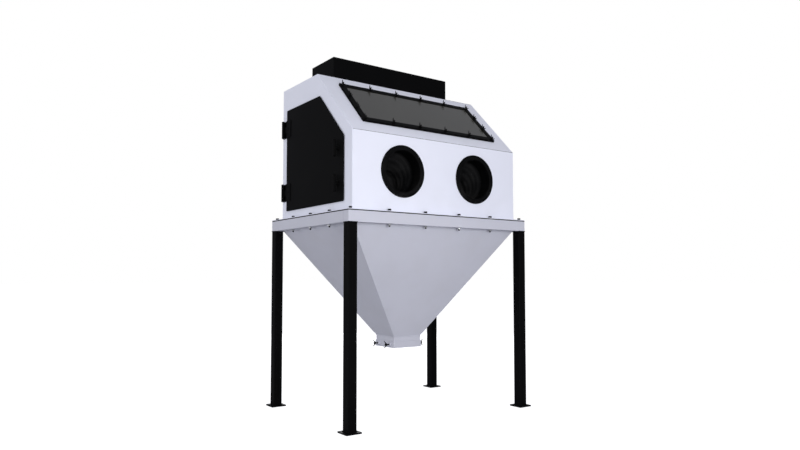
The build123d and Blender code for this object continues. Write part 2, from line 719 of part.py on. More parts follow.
for name, side in (("left", -1), ("right", 1)):
    # Local Z runs from the ring's outer face into the chamber, and local Y points down.
    port_place = Plane(
        origin=(side * PORT_SPACING / 2, FRONT - PORT_FLANGE, PORT_HEIGHT),
        x_dir=(1, 0, 0),
        z_dir=(0, 1, 0),
    )
    with BuildPart() as placed_ring:
        with Locations(port_place):
            add(port_ring.part)
    save(placed_ring, f"port_ring_{name}")
    with BuildPart() as placed_glove:
        with Locations(port_place):
            add(glove.part)
    save(placed_glove, f"glove_{name}")

ports_middle = Plane(origin=(0, FRONT - PORT_FLANGE, PORT_HEIGHT), x_dir=(1, 0, 0), z_dir=(0, 1, 0))
with BuildPart() as glove_clamps:
    with Locations(ports_middle):
        with GridLocations(PORT_SPACING, 1, 2, 1):
            add(glove_clamp.part)
save(glove_clamps, "glove_clamps")

with BuildPart() as port_screws:
    with Locations(ports_middle):
        with GridLocations(PORT_SPACING, 1, 2, 1):
            with PolarLocations(PORT_SCREW_CIRCLE, PORT_SCREWS, 30):
                add(port_screw.part)
save(port_screws, "port_screws")

# ---------------------------------------------------------------- door, seal and hinges
door_plane = Plane.YZ.offset(DOOR_FACE)
with BuildPart() as door_panel:
    with BuildSketch(door_plane):
        Polygon(*door_outline(0), align=None)
        with Locations(*[(LATCH_Y, height) for height in LATCH_HEIGHTS]):
            Circle(LATCH_SHAFT + 3, mode=Mode.SUBTRACT)
    extrude(amount=DOOR_SHEET)
    fillet(door_panel.edges().filter_by(Axis.X).filter_by(GeomType.LINE), DOOR_CORNER)
save(door_panel, "door_panel")

with BuildPart() as door_seal:
    with BuildSketch(Plane.YZ.offset(DOOR_X)):
        Polygon(*door_outline(SEAL_INSET), align=None)
        Polygon(*door_outline(SEAL_INSET + SEAL_WIDTH), align=None, mode=Mode.SUBTRACT)
    extrude(amount=DOOR_SEAL)
save(door_seal, "door_seal")

# Each hinge has three knuckles: the middle one belongs to the door, the outer two to the cabinet.
knuckle = HINGE_LENGTH / 3
leaf_back = HALF_DEPTH - 2.0
leaf_front = DOOR_BACK - HINGE_LEAF_WIDTH
wall_leaf_front = DOOR_BACK + 2.0
with BuildPart() as door_hinge_leaves:
    for height in HINGE_HEIGHTS:
        with BuildSketch(Plane.XY.offset(height - HINGE_LENGTH / 2)):
            with Locations(((DOOR_FACE - HINGE_LEAF / 2), (leaf_front + DOOR_BACK) / 2)):
                Rectangle(HINGE_LEAF, DOOR_BACK - leaf_front)
        extrude(amount=HINGE_LENGTH)
        with BuildSketch(Plane.XY.offset(height - knuckle / 2 + MOVING_GAP)):
            with Locations((HINGE_X, HINGE_Y)):
                Circle(HINGE_BARREL)
            with Locations(((DOOR_FACE - HINGE_LEAF / 2), (DOOR_BACK + HINGE_Y) / 2)):
                Rectangle(HINGE_LEAF, HINGE_Y - DOOR_BACK)
            with Locations((HINGE_X, HINGE_Y)):
                Circle(HINGE_PIN + RUNNING_FIT, mode=Mode.SUBTRACT)
        extrude(amount=knuckle - 2 * MOVING_GAP)
save(door_hinge_leaves, "door_hinge_leaves")

with BuildPart() as cabinet_hinge_leaves:
    for height in HINGE_HEIGHTS:
        with BuildSketch(Plane.XY.offset(height - HINGE_LENGTH / 2)):
            with Locations((WALL_X - HINGE_LEAF / 2, (wall_leaf_front + leaf_back) / 2)):
                Rectangle(HINGE_LEAF, leaf_back - wall_leaf_front)
        extrude(amount=HINGE_LENGTH)
        for start in (height - HINGE_LENGTH / 2, height + knuckle / 2):
            with BuildSketch(Plane.XY.offset(start)):
                with Locations((HINGE_X, HINGE_Y)):
                    Circle(HINGE_BARREL)
                Polygon(
                    (HINGE_X, HINGE_Y),
                    (HINGE_X, HINGE_Y + HINGE_BARREL),
                    (WALL_X, leaf_back - 8),
                    (WALL_X, HINGE_Y + 3),
                    align=None,
                )
                with Locations((HINGE_X, HINGE_Y)):
                    Circle(HINGE_PIN, mode=Mode.SUBTRACT)
            extrude(amount=knuckle)
save(cabinet_hinge_leaves, "cabinet_hinge_leaves")

with BuildPart() as hinge_pins:
    for height in HINGE_HEIGHTS:
        with BuildSketch(Plane.XY.offset(height - HINGE_LENGTH / 2)):
            with Locations((HINGE_X, HINGE_Y)):
                Circle(HINGE_PIN)
        extrude(amount=HINGE_LENGTH)
        with BuildSketch(Plane.XY.offset(height + HINGE_LENGTH / 2)):
            with Locations((HINGE_X, HINGE_Y)):
                Circle(HINGE_PIN + HINGE_PIN_HEAD)
        extrude(amount=HINGE_PIN_HEAD)
save(hinge_pins, "hinge_pins")

# ---------------------------------------------------------------- quarter-turn latches
BUSHING_HEAD = 3.0
LATCH_HUB = 9.0
LATCH_NECK = 6.0
LATCH_HANDLE = 12.0
LATCH_SPAN = 72.0
LATCH_GRIP = 16.0
LATCH_EDGE = 3.0
BUSHING_BODY = LATCH_SHAFT + 3.0

with BuildPart() as latch_bushings:
    with BuildSketch(Plane.YZ.offset(DOOR_X)):
        with Locations(*[(LATCH_Y, height) for height in LATCH_HEIGHTS]):
            Circle(BUSHING_BODY)
            Circle(LATCH_SHAFT + RUNNING_FIT, mode=Mode.SUBTRACT)
    extrude(amount=-DOOR_SHEET - BUSHING_HEAD)
    with BuildSketch(Plane.YZ.offset(DOOR_FACE)):
        with Locations(*[(LATCH_Y, height) for height in LATCH_HEIGHTS]):
            Circle(BUSHING_RADIUS)
            Circle(LATCH_SHAFT + 2, mode=Mode.SUBTRACT)
    extrude(amount=-BUSHING_HEAD)
save(latch_bushings, "latch_bushings")

# Shaft from the cam to the handle; at rest the handle and the cam both stand upright, which is unlatched.
handle_start = DOOR_FACE - BUSHING_HEAD - MOVING_GAP
for name, height in zip(("lower", "upper"), LATCH_HEIGHTS):
    with BuildPart() as latch:
        with BuildSketch(Plane.YZ.offset(CAM_X + CAM_THICKNESS)):
            with Locations((LATCH_Y, height)):
                Circle(LATCH_SHAFT)
        extrude(amount=handle_start - CAM_X - CAM_THICKNESS)
        with BuildSketch(Plane.YZ.offset(CAM_X)):
            with Locations((LATCH_Y, height)):
                Circle(LATCH_HUB)
            with Locations((LATCH_Y, height + CAM_REACH / 2)):
                Rectangle(CAM_WIDTH, CAM_REACH)
        extrude(amount=CAM_THICKNESS)
        with BuildSketch(Plane.YZ.offset(handle_start)):
            with Locations((LATCH_Y, height)):
                Circle(LATCH_HUB)
        extrude(amount=-LATCH_NECK)
        with BuildSketch(Plane.YZ.offset(handle_start - LATCH_NECK)):
            with Locations((LATCH_Y, height)):
                SlotOverall(LATCH_SPAN, LATCH_GRIP, rotation=90)
        extrude(amount=-LATCH_HANDLE)
        fillet(latch.faces().sort_by(Axis.X)[0].edges(), LATCH_EDGE)
    save(latch, f"latch_{name}")

# ---------------------------------------------------------------- grate and its ledges
with BuildPart() as grate_ledges:
    for side in (-1, 1):
        wall_y = side * (HALF_DEPTH - SHEET)
        inner_y = wall_y - side * LEDGE_SIDE
        with BuildSketch(Plane.YZ.offset(-INNER_HALF)):
            Polygon(
                (wall_y, DECK),
                (inner_y, DECK),
                (inner_y, GRATE_BOTTOM),
                (wall_y - side * SHEET, GRATE_BOTTOM),
                (wall_y - side * SHEET, DECK + LEDGE_SIDE),
                (wall_y, DECK + LEDGE_SIDE),
                align=None,
            )
        extrude(amount=2 * INNER_HALF)
save(grate_ledges, "grate_ledges")

grate_width = 2 * (INNER_HALF - GRATE_PLAY)
grate_depth = CABINET_DEPTH - 4 * SHEET - 2 * (GRATE_PLAY - 1)
slot_across = (grate_width - GRATE_BAR) / GRATE_SLOTS_ACROSS
slot_deep = (grate_depth - GRATE_BAR) / GRATE_SLOTS_DEEP
with BuildPart() as work_grate:
    with BuildSketch(Plane.XY.offset(GRATE_BOTTOM)):
        Rectangle(grate_width, grate_depth)
        with GridLocations(slot_across, slot_deep, GRATE_SLOTS_ACROSS, GRATE_SLOTS_DEEP):
            Rectangle(slot_across - GRATE_BAR, slot_deep - GRATE_BAR, mode=Mode.SUBTRACT)
    extrude(amount=GRATE_HEIGHT)
save(work_grate, "work_grate")

# ---------------------------------------------------------------- blast gun, lying on its side
gun_axis = Plane(origin=(0, GUN_Y, GUN_HEIGHT), x_dir=(0, 1, 0), z_dir=(1, 0, 0))
with BuildPart() as gun_body:
    with BuildSketch(gun_axis.offset(GUN_BACK)):
        Circle(GUN_BARREL)
    extrude(amount=GUN_FRONT - GUN_BACK)
    with BuildSketch(gun_axis.offset(GUN_TAIL)):
        Circle(GUN_TAIL_RADIUS)
    extrude(amount=GUN_BACK - GUN_TAIL)
    with BuildSketch(Plane.XY.offset(GUN_HEIGHT - GRIP_THICKNESS / 2)):
        Polygon((-66, GUN_Y), (-78, GUN_Y - 112), (-50, GUN_Y - 116), (-36, GUN_Y), align=None)
    extrude(amount=GRIP_THICKNESS)
    fillet(gun_body.edges().filter_by(Plane.XY).group_by(Axis.Y)[0], 6)
    for start in (-LUG_TOP, LUG_TOP - LUG_THICKNESS):
        with BuildSketch(Plane.XY.offset(GUN_HEIGHT + start)):
            with Locations((TRIGGER_X, TRIGGER_Y)):
                Circle(LUG_RADIUS)
            with Locations((TRIGGER_X, (TRIGGER_Y + GUN_Y) / 2)):
                Rectangle(2 * LUG_RADIUS, GUN_Y - TRIGGER_Y)
        extrude(amount=LUG_THICKNESS)
    with BuildSketch(Plane.XY.offset(GUN_HEIGHT - LUG_TOP)):
        with Locations((TRIGGER_X, TRIGGER_Y)):
            Circle(TRIGGER_PIN)
    extrude(amount=2 * LUG_TOP, mode=Mode.SUBTRACT)
    with BuildSketch(gun_axis.offset(GUN_FRONT)):
        Circle(GUN_PASSAGE)
    extrude(amount=GUN_TAIL - GUN_FRONT, mode=Mode.SUBTRACT)
save(gun_body, "gun_body")

with BuildPart() as gun_nozzle:
    with BuildSketch(gun_axis.offset(GUN_FRONT)):
        RegularPolygon(NOZZLE_NUT[0], 6)
        Circle(NOZZLE_BORE, mode=Mode.SUBTRACT)
    extrude(amount=NOZZLE_NUT[1])
    with BuildSketch(gun_axis.offset(GUN_FRONT + NOZZLE_NUT[1])):
        Circle(NOZZLE_TIP[0])
        Circle(NOZZLE_BORE, mode=Mode.SUBTRACT)
    extrude(amount=NOZZLE_TIP[1])
save(gun_nozzle, "gun_nozzle")

eye_half = LUG_TOP - LUG_THICKNESS - MOVING_GAP
with BuildPart() as gun_trigger:
    with BuildSketch(Plane.XY.offset(GUN_HEIGHT - eye_half)):
        with Locations((TRIGGER_X, TRIGGER_Y)):
            Circle(6.5)
        with BuildLine():
            Polyline(
                (TRIGGER_X - 5, TRIGGER_Y),
                (TRIGGER_X - 7, TRIGGER_Y - 40),
                (TRIGGER_X - 4, TRIGGER_Y - 76),
                (TRIGGER_X + 2, TRIGGER_Y - 76),
                (TRIGGER_X, TRIGGER_Y - 40),
                (TRIGGER_X + 5, TRIGGER_Y),
                close=True,
            )
        make_face()
        with Locations((TRIGGER_X, TRIGGER_Y)):
            Circle(TRIGGER_PIN + RUNNING_FIT, mode=Mode.SUBTRACT)
    extrude(amount=2 * eye_half)
save(gun_trigger, "gun_trigger")

with BuildPart() as trigger_pin:
    with BuildSketch(Plane.XY.offset(GUN_HEIGHT - LUG_TOP)):
        with Locations((TRIGGER_X, TRIGGER_Y)):
            Circle(TRIGGER_PIN)
    extrude(amount=2 * LUG_TOP)
save(trigger_pin, "trigger_pin")

# ---------------------------------------------------------------- light box
SWITCH_Z = ROOF_HEIGHT + 62.0
SWITCH_BODY = (20.0, 28.0)
ROCKER = (14.0, 22.0)
ROCKER_TILT = 10.0
GLAND_X = 220.0
GLAND_Z = ROOF_HEIGHT + 40.0
GLAND_THREAD = 6.0
GLAND_HEX = (11.0, 6.0)
GLAND_DOME = (9.0, 14.0)
GLAND_INSIDE = 8.0
CORD_RADIUS = 4.0
BEZEL_LIP = 3.0
BEZEL_THICKNESS = 2.0
SWITCH_DEPTH = 12.0
lamp_end = LAMP_X + LAMP_WIDTH / 2
lamp_back = LAMP_Y + LAMP_DEPTH / 2
switch_plane = Plane(origin=(lamp_end, LAMP_Y, SWITCH_Z), x_dir=(0, 1, 0), z_dir=(1, 0, 0))
gland_plane = Plane(origin=(GLAND_X, lamp_back, GLAND_Z), x_dir=(-1, 0, 0), z_dir=(0, 1, 0))

with BuildPart() as lamp_housing:
    with BuildSketch(Plane.XY.offset(ROOF_HEIGHT)):
        with Locations((LAMP_X, LAMP_Y)):
            Rectangle(LAMP_WIDTH, LAMP_DEPTH)
    extrude(amount=LAMP_HEIGHT)
    with BuildSketch(Plane.XY.offset(ROOF_HEIGHT)):
        with Locations((LAMP_X, LAMP_Y)):
            Rectangle(LAMP_WIDTH - 2 * LAMP_SHEET, LAMP_DEPTH - 2 * LAMP_SHEET)
    extrude(amount=LAMP_HEIGHT - LAMP_SHEET, mode=Mode.SUBTRACT)
    with BuildSketch(switch_plane):
        Rectangle(*SWITCH_BODY)
    extrude(amount=-LAMP_SHEET, mode=Mode.SUBTRACT)
    with BuildSketch(gland_plane):
        Circle(GLAND_THREAD)
    extrude(amount=-LAMP_SHEET, mode=Mode.SUBTRACT)
save(lamp_housing, "lamp_housing")

with BuildPart() as lamp_glass:
    with BuildSketch(Plane.XY.offset(ROOF_HEIGHT)):
        with Locations((LAMP_X, LAMP_Y)):
            Rectangle(LAMP_OPENING[0] + 2 * LAMP_GLASS_LAP, LAMP_OPENING[1] + 2 * LAMP_GLASS_LAP)
    extrude(amount=LAMP_GLASS)
save(lamp_glass, "lamp_glass")

batten_top = ROOF_HEIGHT + LAMP_HEIGHT - LAMP_SHEET
with BuildPart() as lamp_battens:
    with BuildSketch(Plane.XY.offset(batten_top)):
        with Locations((LAMP_X, LAMP_Y)):
            with GridLocations(1, BATTEN_SPACING, 1, 2):
                Rectangle(BATTEN_LENGTH, BATTEN_WIDTH)
    extrude(amount=-BATTEN_DEPTH)
    lower_edges = lamp_battens.edges().filter_by(Axis.X).group_by(Axis.Z)[0]
    fillet(lower_edges, BATTEN_DEPTH / 3)
save(lamp_battens, "lamp_battens")

with BuildPart() as switch_bezel:
    with BuildSketch(switch_plane):
        RectangleRounded(SWITCH_BODY[0] + 2 * BEZEL_LIP, SWITCH_BODY[1] + 2 * BEZEL_LIP, 2)
    extrude(amount=BEZEL_THICKNESS)
    with BuildSketch(switch_plane):
        Rectangle(*SWITCH_BODY)
    extrude(amount=-SWITCH_DEPTH)
    with BuildSketch(switch_plane.offset(BEZEL_THICKNESS)):
        Rectangle(ROCKER[0] + 2 * MOVING_GAP, ROCKER[1] + 2)
    extrude(amount=-SWITCH_DEPTH, mode=Mode.SUBTRACT)
save(switch_bezel, "switch_bezel")

# The rocker turns about a line across its middle; at rest its lower half stands out, which is off.
rocker_place = Plane(origin=(lamp_end - 1, LAMP_Y, SWITCH_Z), x_dir=(0, 1, 0), z_dir=(1, 0, 0))
with BuildPart() as rocker_shape:
    with BuildSketch(Plane.YZ.offset(-ROCKER[0] / 2)):
        Polygon((-10, -3.5), (10, -3.5), (10, 5.5), (0, 4), (-10, 5.5), align=None)
    extrude(amount=ROCKER[0])
with BuildPart() as switch_rocker:
    with Locations(rocker_place):
        with Locations(Rotation(-ROCKER_TILT, 0, 0)):
            add(rocker_shape.part)
save(switch_rocker, "switch_rocker")

with BuildPart() as cable_gland:
    with BuildSketch(gland_plane):
        RegularPolygon(GLAND_HEX[0], 6)
    extrude(amount=GLAND_HEX[1])
    with BuildSketch(gland_plane.offset(GLAND_HEX[1])):
        Circle(GLAND_DOME[0])
    extrude(amount=GLAND_DOME[1], taper=8)
    with BuildSketch(gland_plane):
        Circle(GLAND_THREAD)
    extrude(amount=-GLAND_INSIDE)
    gland_length = GLAND_HEX[1] + GLAND_DOME[1]
    with BuildSketch(gland_plane.offset(gland_length)):
        Circle(CORD_RADIUS)
    extrude(amount=-gland_length - GLAND_INSIDE, mode=Mode.SUBTRACT)
save(cable_gland, "cable_gland")

# ---------------------------------------------------------------- exhaust and air inlet
exhaust_plane = Plane(origin=(EXHAUST_X, HALF_DEPTH, EXHAUST_HEIGHT), x_dir=(-1, 0, 0), z_dir=(0, 1, 0))
with BuildPart() as exhaust_spigot:
    with BuildSketch(exhaust_plane):
        Circle(EXHAUST_RADIUS + EXHAUST_FLANGE)
    extrude(amount=EXHAUST_FLANGE_THICKNESS)
    with BuildSketch(exhaust_plane):
        Circle(EXHAUST_RADIUS)
    extrude(amount=EXHAUST_LENGTH)
    with BuildSketch(exhaust_plane):
        Circle(EXHAUST_RADIUS - EXHAUST_WALL)
    extrude(amount=EXHAUST_LENGTH, mode=Mode.SUBTRACT)
save(exhaust_spigot, "exhaust_spigot")

inlet_plane = Plane(origin=(INLET_X, HALF_DEPTH, INLET_HEIGHT), x_dir=(-1, 0, 0), z_dir=(0, 1, 0))
with BuildPart() as air_inlet:
    with BuildSketch(inlet_plane):
        RegularPolygon(INLET_HEX, 6)
    extrude(amount=INLET_HEAD)
    with BuildSketch(inlet_plane.offset(-SHEET)):
        RegularPolygon(INLET_HEX, 6)
    extrude(amount=-INLET_NUT)
    with BuildSketch(inlet_plane.offset(INLET_HEAD)):
        Circle(INLET_SHANK)
    extrude(amount=-INLET_LENGTH)
    with BuildSketch(inlet_plane.offset(INLET_HEAD)):
        Circle(INLET_BORE)
    extrude(amount=-INLET_LENGTH, mode=Mode.SUBTRACT)
save(air_inlet, "air_inlet")
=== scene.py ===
"""Looks of a free-standing sandblast cabinet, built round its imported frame.

The white sheet-steel chamber stands on a rim with a collecting hopper and four black legs. Every piece is
modelled in metres in the frame's own place: X to the operator's right, -Y towards the operator, Z up.
"""

from __future__ import annotations

import json
import logging
import math
from collections.abc import Callable, Iterable
from dataclasses import dataclass
from enum import Enum

import bpy
from mathutils import Matrix, Vector


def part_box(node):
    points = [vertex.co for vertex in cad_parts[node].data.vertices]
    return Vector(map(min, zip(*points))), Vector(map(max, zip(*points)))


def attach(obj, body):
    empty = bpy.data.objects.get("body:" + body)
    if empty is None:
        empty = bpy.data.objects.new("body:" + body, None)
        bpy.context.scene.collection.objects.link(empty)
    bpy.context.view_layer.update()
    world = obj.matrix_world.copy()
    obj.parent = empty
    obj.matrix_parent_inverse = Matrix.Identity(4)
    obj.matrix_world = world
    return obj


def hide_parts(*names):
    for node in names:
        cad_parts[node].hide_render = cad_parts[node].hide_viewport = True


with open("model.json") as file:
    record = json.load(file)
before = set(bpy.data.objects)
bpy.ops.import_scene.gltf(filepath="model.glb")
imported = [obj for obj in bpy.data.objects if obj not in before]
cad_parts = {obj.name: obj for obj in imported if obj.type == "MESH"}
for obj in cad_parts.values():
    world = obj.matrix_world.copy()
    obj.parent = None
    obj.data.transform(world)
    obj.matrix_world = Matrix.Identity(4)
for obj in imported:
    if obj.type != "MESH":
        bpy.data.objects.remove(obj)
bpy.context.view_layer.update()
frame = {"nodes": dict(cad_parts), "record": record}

log = logging.getLogger("sandblast_cabinet")
MM = 0.001
SLOPE = math.radians(45)


# ---------------------------------------------------------------- small helpers for modelling by hand


def deselect_all() -> None:
    """Leaves nothing selected, so that an operator acts only on what is chosen next."""
    for obj in list(bpy.context.selected_objects):
        obj.select_set(False)


def work_on(obj: bpy.types.Object) -> bpy.types.Object:
    """Selects one object alone and makes it active."""
    deselect_all()
    obj.select_set(True)
    bpy.context.view_layer.objects.active = obj
    return obj


def edit(obj: bpy.types.Object, mode: str = "FACE") -> None:
    """Opens an object in edit mode with nothing selected.

    Args:
        obj: the mesh to open.
        mode: VERT, EDGE or FACE, the kind of element to pick.
    """
    work_on(obj)
    bpy.ops.object.mode_set(mode="EDIT")
    bpy.ops.mesh.select_mode(type=mode)
    bpy.ops.mesh.select_all(action="DESELECT")
    bpy.ops.object.mode_set(mode="OBJECT")


def pick_faces(obj: bpy.types.Object, wanted: Callable[[bpy.types.MeshPolygon], bool]) -> None:
    """Selects faces by their place or normal and goes into edit mode.

    Args:
        obj: the mesh, in object mode.
        wanted: says whether a face is selected.
    """
    edit(obj, "FACE")
    for face in obj.data.polygons:
        face.select = wanted(face)
    bpy.ops.object.mode_set(mode="EDIT")


def close_edit() -> None:
    """Goes back to object mode."""
    bpy.ops.object.mode_set(mode="OBJECT")


def primitive(adder: Callable[..., set[str]], name: str, **settings: object) -> bpy.types.Object:
    """Adds a primitive at its size and place and names it.

    Args:
        adder: one of the bpy.ops.mesh.primitive operators.
        name: the new object's name.
        settings: the operator's own settings.

    Returns:
        The new object, active and alone in the selection.
    """
    deselect_all()
    adder(**settings)
    obj = bpy.context.active_object
    obj.name = name
    return obj


def settle(obj: bpy.types.Object) -> bpy.types.Object:
    """Puts an object's place into its mesh and leaves it at the origin."""
    work_on(obj)
    bpy.ops.object.transform_apply(location=True, rotation=True, scale=True)
    return obj


def apply_modifier(obj: bpy.types.Object, kind: str, **settings: object) -> None:
    """Adds a modifier, sets it and applies it.

    Args:
        obj: the mesh to finish.
        kind: the modifier's type, such as BEVEL.
        settings: the modifier's own settings.
    """
    work_on(obj)
    modifier = obj.modifiers.new(kind.lower(), kind)
    for key, value in settings.items():
        setattr(modifier, key, value)
    bpy.ops.object.modifier_apply(modifier=modifier.name)


def smooth(obj: bpy.types.Object, degrees: float = 30.0) -> None:
    """Shades an object smooth except over edges sharper than the angle."""
    work_on(obj)
    bpy.ops.object.shade_smooth_by_angle(angle=math.radians(degrees))


def join(parts: list[bpy.types.Object], name: str) -> bpy.types.Object:
    """Joins objects into the first of them.

    Args:
        parts: the objects to join.
        name: the joined object's name.

    Returns:
        The joined object.
    """
    deselect_all()
    for part in parts:
        part.select_set(True)
    bpy.context.view_layer.objects.active = parts[0]
    if len(parts) > 1:
        bpy.ops.object.join()
    parts[0].name = name
    return parts[0]


def copies(pattern: bpy.types.Object, places: Iterable[Matrix], name: str) -> bpy.types.Object:
    """Copies a pattern to each place and joins the copies into one piece.

    Args:
        pattern: the object modelled once, at the origin. It is removed afterwards.
        places: where each copy goes.
        name: the finished piece's name.

    Returns:
        The joined piece, with its place in its mesh.
    """
    made = []
    for place in places:
        copy = bpy.data.objects.new(name, pattern.data.copy())
        bpy.context.scene.collection.objects.link(copy)
        copy.data.transform(place)
        made.append(copy)
    bpy.data.objects.remove(pattern)
    return join(made, name)


def middle(node: str) -> Vector:
    """The middle of a CAD node's box."""
    low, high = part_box(node)
    return (low + high) / 2


# ---------------------------------------------------------------- shared shader effects


class Links:
    """A node tree being wired, in a material or in a node group."""

    def __init__(self, tree: bpy.types.NodeTree) -> None:
        """Starts on an empty tree."""
        self.tree = tree
        tree.nodes.clear()

    def node(self, kind: str, **settings: object) -> bpy.types.Node:
        """Adds a node and sets its properties.

        Args:
            kind: the node's type name, without ShaderNode.
            settings: properties by name; a key that starts with in_ sets an input socket.

        Returns:
            The new node.
        """
        made = self.tree.nodes.new(kind if kind.startswith("Node") else f"ShaderNode{kind}")
        for key, value in settings.items():
            if key.startswith("in_"):
                made.inputs[key[3:].replace("_", " ")].default_value = value
            else:
                setattr(made, key, value)
        return made

    def link(self, source: bpy.types.NodeSocket, target: bpy.types.NodeSocket) -> None:
        """Joins an output to an input."""
        self.tree.links.new(source, target)

    def noise(self, vector: bpy.types.NodeSocket, scale: float, detail: float = 3.0) -> bpy.types.Node:
        """Adds a noise texture on the given coordinates."""
        made = self.node("TexNoise", in_Scale=scale, in_Detail=detail)
        self.link(vector, made.inputs["Vector"])
        return made

    def ramp(self, value: bpy.types.NodeSocket, low: float, high: float) -> bpy.types.NodeSocket:
        """Spreads a value so that low gives 0 and high gives 1.

        Args:
            value: the value to spread.
            low: what becomes 0.
            high: what becomes 1.

        Returns:
            The spread value.
        """
        made = self.node("MapRange", clamp=True)
        made.inputs["From Min"].default_value = low
        made.inputs["From Max"].default_value = high
        self.link(value, made.inputs["Value"])
        return made.outputs["Result"]

    def mix(
        self,
        amount: bpy.types.NodeSocket,
        under: tuple[float, float, float] | bpy.types.NodeSocket,
        over: tuple[float, float, float] | bpy.types.NodeSocket,
    ) -> bpy.types.NodeSocket:
        """Mixes two colours by a mask.

        Args:
            amount: the mask; 1 shows over.
            under: a colour or a socket.
            over: a colour or a socket.

        Returns:
            The mixed colour.
        """
        made = self.node("Mix", data_type="RGBA")
        self.link(amount, made.inputs["Factor"])
        for key, colour in (("A", under), ("B", over)):
            socket = next(s for s in made.inputs if s.name == key and s.type == "RGBA")
            if isinstance(colour, tuple):
                socket.default_value = (*colour, 1.0)
            else:
                self.link(colour, socket)
        return next(s for s in made.outputs if s.type == "RGBA")

    def calc(
        self, operation: str, first: bpy.types.NodeSocket, second: float | bpy.types.NodeSocket
    ) -> bpy.types.NodeSocket:
        """One step of arithmetic on a varying value.

        Args:
            operation: the Math node's operation.
            first: a varying value.
            second: a number or another varying value.

        Returns:
            The result.
        """
        made = self.node("Math", operation=operation)
        self.link(first, made.inputs[0])
        if isinstance(second, (int, float)):
            made.inputs[1].default_value = second
        else:
            self.link(second, made.inputs[1])
        return made.outputs[0]


class Effect(Enum):
    """The shader effects that several finishes share."""

    ORANGE_PEEL = "orange_peel"
    MOTTLE = "mottle"
    SCRATCHES = "scratches"
    SETTLED_DUST = "settled_dust"
    EDGE_WEAR = "edge_wear"


